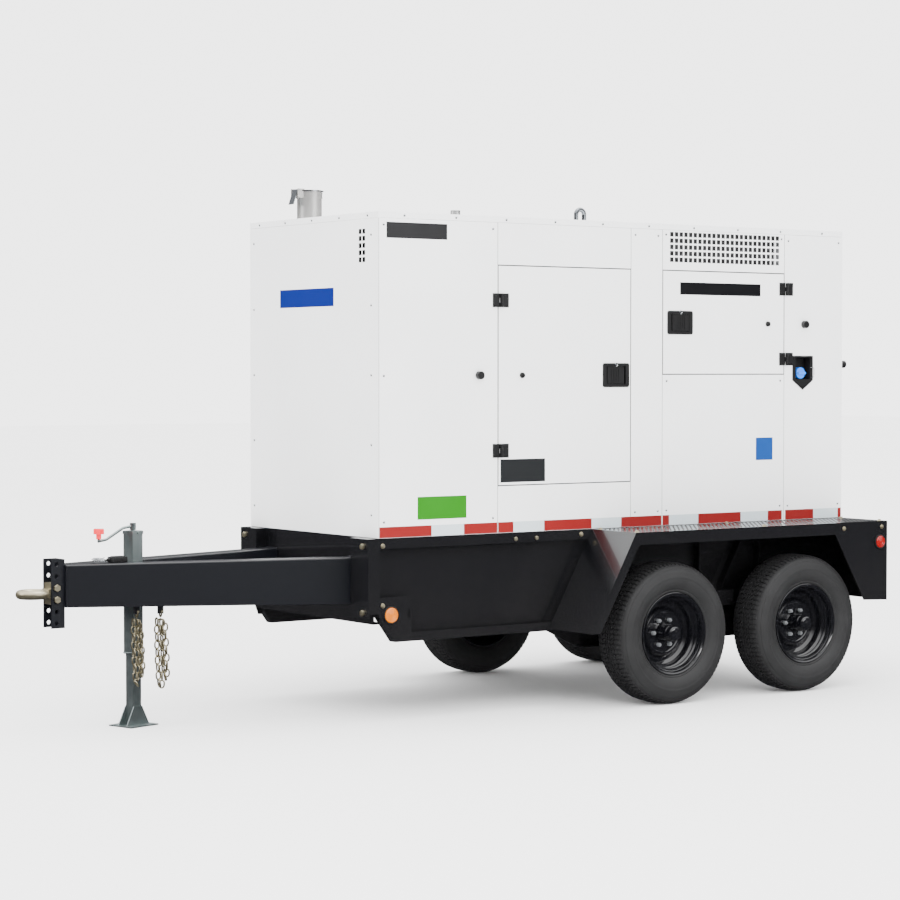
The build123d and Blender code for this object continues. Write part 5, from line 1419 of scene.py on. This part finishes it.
def make_stage(stage):
    """Camera, pale floor and a soft white studio."""
    data = bpy.data.cameras.new("camera")
    data.lens = stage.lens
    data.sensor_width = 36.0
    data.clip_end = 200.0
    camera = shown("camera", data)
    camera.location = stage.eye
    camera.rotation_euler = (math.pi / 2 - stage.dip, 0.0, stage.heading)
    bpy.context.scene.camera = camera
    floor_mesh = bpy.data.meshes.new("floor")
    reach = 60.0
    floor_mesh.from_pydata([(a * reach, b * reach, 0) for a, b in CORNERS], [], [(0, 1, 2, 3)])
    floor = shown("floor", floor_mesh)
    pale = Finish("floor_pale", Roughness=0.9, Specular_IOR_Level=0.1)
    pale.feed(Base_Color=pale.blend(pale.noise(0.4), (0.93, 0.93, 0.93, 1), (0.96, 0.96, 0.96, 1)))
    floor_mesh.materials.append(pale.material)
    world = bpy.data.worlds.new("studio")
    world.use_nodes = True
    bpy.context.scene.world = world
    sky = Shader(world.node_tree, "Background")
    way = sky.node("ShaderNodeTexCoord", {}, {}, "Generated")
    height = sky.node("ShaderNodeSeparateXYZ", {}, {0: way}, "Z")
    room = sky.node("ShaderNodeValToRGB", {"stops": ROOM_TONES}, {0: height}, "Color")
    mirrored = sky.node("ShaderNodeLightPath", {}, {}, "Is Glossy Ray")
    seen = sky.node("ShaderNodeLightPath", {}, {}, "Is Camera Ray")
    sky.feed(Color=sky.blend(mirrored, (1.0, 1.0, 1.0, 1.0), room),
             Strength=seen * (stage.backdrop - stage.sky) + stage.sky)
    floor.visible_glossy = False
    middle = (0.2, 0.0, 1.2)
    area_light("key_soft", (-5.0, -7.0, 6.5), middle, (5.0, 3.0), 420, mirrored=False)
    area_light("side_strip", (2.5, -9.0, 3.0), (0.6, -0.6, 0.8), (6.0, 1.2), 160)
    area_light("front_soft", (-9.0, 2.5, 4.0), middle, (3.0, 3.0), 120)
    area_light("top_soft", (0.5, 0.0, 8.5), middle, (6.0, 4.0), 260)


# ---------------------------------------------------------------- operators
class GENSET_OT_finishes(bpy.types.Operator):
    """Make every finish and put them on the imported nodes"""
    bl_idname = "genset.finishes"
    bl_label = "Finishes"

    def execute(self, context):
        make_finishes(context.scene.genset_finish)
        finish_nodes()
        return {"FINISHED"}


class GENSET_OT_markings(bpy.types.Operator):
    """Lay the marking tape and the plain printed films"""
    bl_idname = "genset.markings"
    bl_label = "Tape and films"

    def execute(self, context):
        lay_tape()
        lay_films()
        return {"FINISHED"}


class GENSET_OT_fasteners(bpy.types.Operator):
    """Set screws and bolts on the panels, base and hinges"""
    bl_idname = "genset.fasteners"
    bl_label = "Fasteners"

    def execute(self, context):
        set_fasteners(context.scene.genset_trim)
        return {"FINISHED"}


class GENSET_OT_doors(bpy.types.Operator):
    """Dress the doors with locks, seals and foam"""
    bl_idname = "genset.doors"
    bl_label = "Doors"

    def execute(self, context):
        dress_doors()
        peg_boots()
        edge_doors()
        fill_seams()
        return {"FINISHED"}


class GENSET_OT_inlets(bpy.types.Operator):
    """Set the foam baffles behind the inlets"""
    bl_idname = "genset.inlets"
    bl_label = "Air inlets"

    def execute(self, context):
        dress_inlets()
        return {"FINISHED"}


class GENSET_OT_wheels(bpy.types.Operator):
    """Make the tyres, rims, hubs and nuts"""
    bl_idname = "genset.wheels"
    bl_label = "Wheels"

    def execute(self, context):
        make_wheels(context.scene.genset_wheels)
        return {"FINISHED"}


class GENSET_OT_drawbar(bpy.types.Operator):
    """Make the chains, jack trim, breakaway switch and welds"""
    bl_idname = "genset.drawbar"
    bl_label = "Drawbar fittings"

    def execute(self, context):
        make_chains(context.scene.genset_trim)
        make_breakaway()
        dress_jack()
        make_welds()
        return {"FINISHED"}


class GENSET_OT_lamps(bpy.types.Operator):
    """Make the marker and tail lamps"""
    bl_idname = "genset.lamps"
    bl_label = "Lamps"

    def execute(self, context):
        make_lamps()
        return {"FINISHED"}


class GENSET_OT_decks(bpy.types.Operator):
    """Raise the grip bumps on the fender decks and dress the roof"""
    bl_idname = "genset.decks"
    bl_label = "Decks and roof"

    def execute(self, context):
        make_decks(context.scene.genset_trim)
        dress_roof()
        return {"FINISHED"}


class GENSET_OT_machinery(bpy.types.Operator):
    """Dress the power unit, console and fluid filler"""
    bl_idname = "genset.machinery"
    bl_label = "Machinery"

    def execute(self, context):
        dress_machinery()
        dress_console()
        dress_filler()
        return {"FINISHED"}


class GENSET_OT_stage(bpy.types.Operator):
    """Set the camera, floor and lights"""
    bl_idname = "genset.stage"
    bl_label = "Stage"

    def execute(self, context):
        make_stage(context.scene.genset_stage)
        return {"FINISHED"}


STEPS = (GENSET_OT_stage, GENSET_OT_finishes, GENSET_OT_markings, GENSET_OT_fasteners, GENSET_OT_doors,
         GENSET_OT_inlets, GENSET_OT_wheels, GENSET_OT_drawbar, GENSET_OT_lamps, GENSET_OT_decks,
         GENSET_OT_machinery)


class GENSET_PT_panel(bpy.types.Panel):
    """Lists the making steps in order"""
    bl_label = "Towable generator"
    bl_idname = "GENSET_PT_panel"
    bl_space_type = "VIEW_3D"
    bl_region_type = "UI"
    bl_category = "Generator"

    def draw(self, context):
        for step in STEPS:
            self.layout.operator(step.bl_idname)


SETTINGS = {"genset_finish": GENSET_PG_finish, "genset_wheels": GENSET_PG_wheels,
            "genset_trim": GENSET_PG_trim, "genset_stage": GENSET_PG_stage}


def register():
    """Registers the settings, the steps and the panel."""
    for cls in (*SETTINGS.values(), *STEPS, GENSET_PT_panel):
        bpy.utils.register_class(cls)
    for name, group in SETTINGS.items():
        setattr(bpy.types.Scene, name, PointerProperty(type=group))


def unregister():
    """Takes everything out again."""
    for name in SETTINGS:
        delattr(bpy.types.Scene, name)
    for cls in reversed((*SETTINGS.values(), *STEPS, GENSET_PT_panel)):
        bpy.utils.unregister_class(cls)


def main():
    """Runs every step in order."""
    register()
    for step in STEPS:
        getattr(bpy.ops.genset, step.bl_idname.split(".")[1])()


if __name__ == "__main__":
    main()
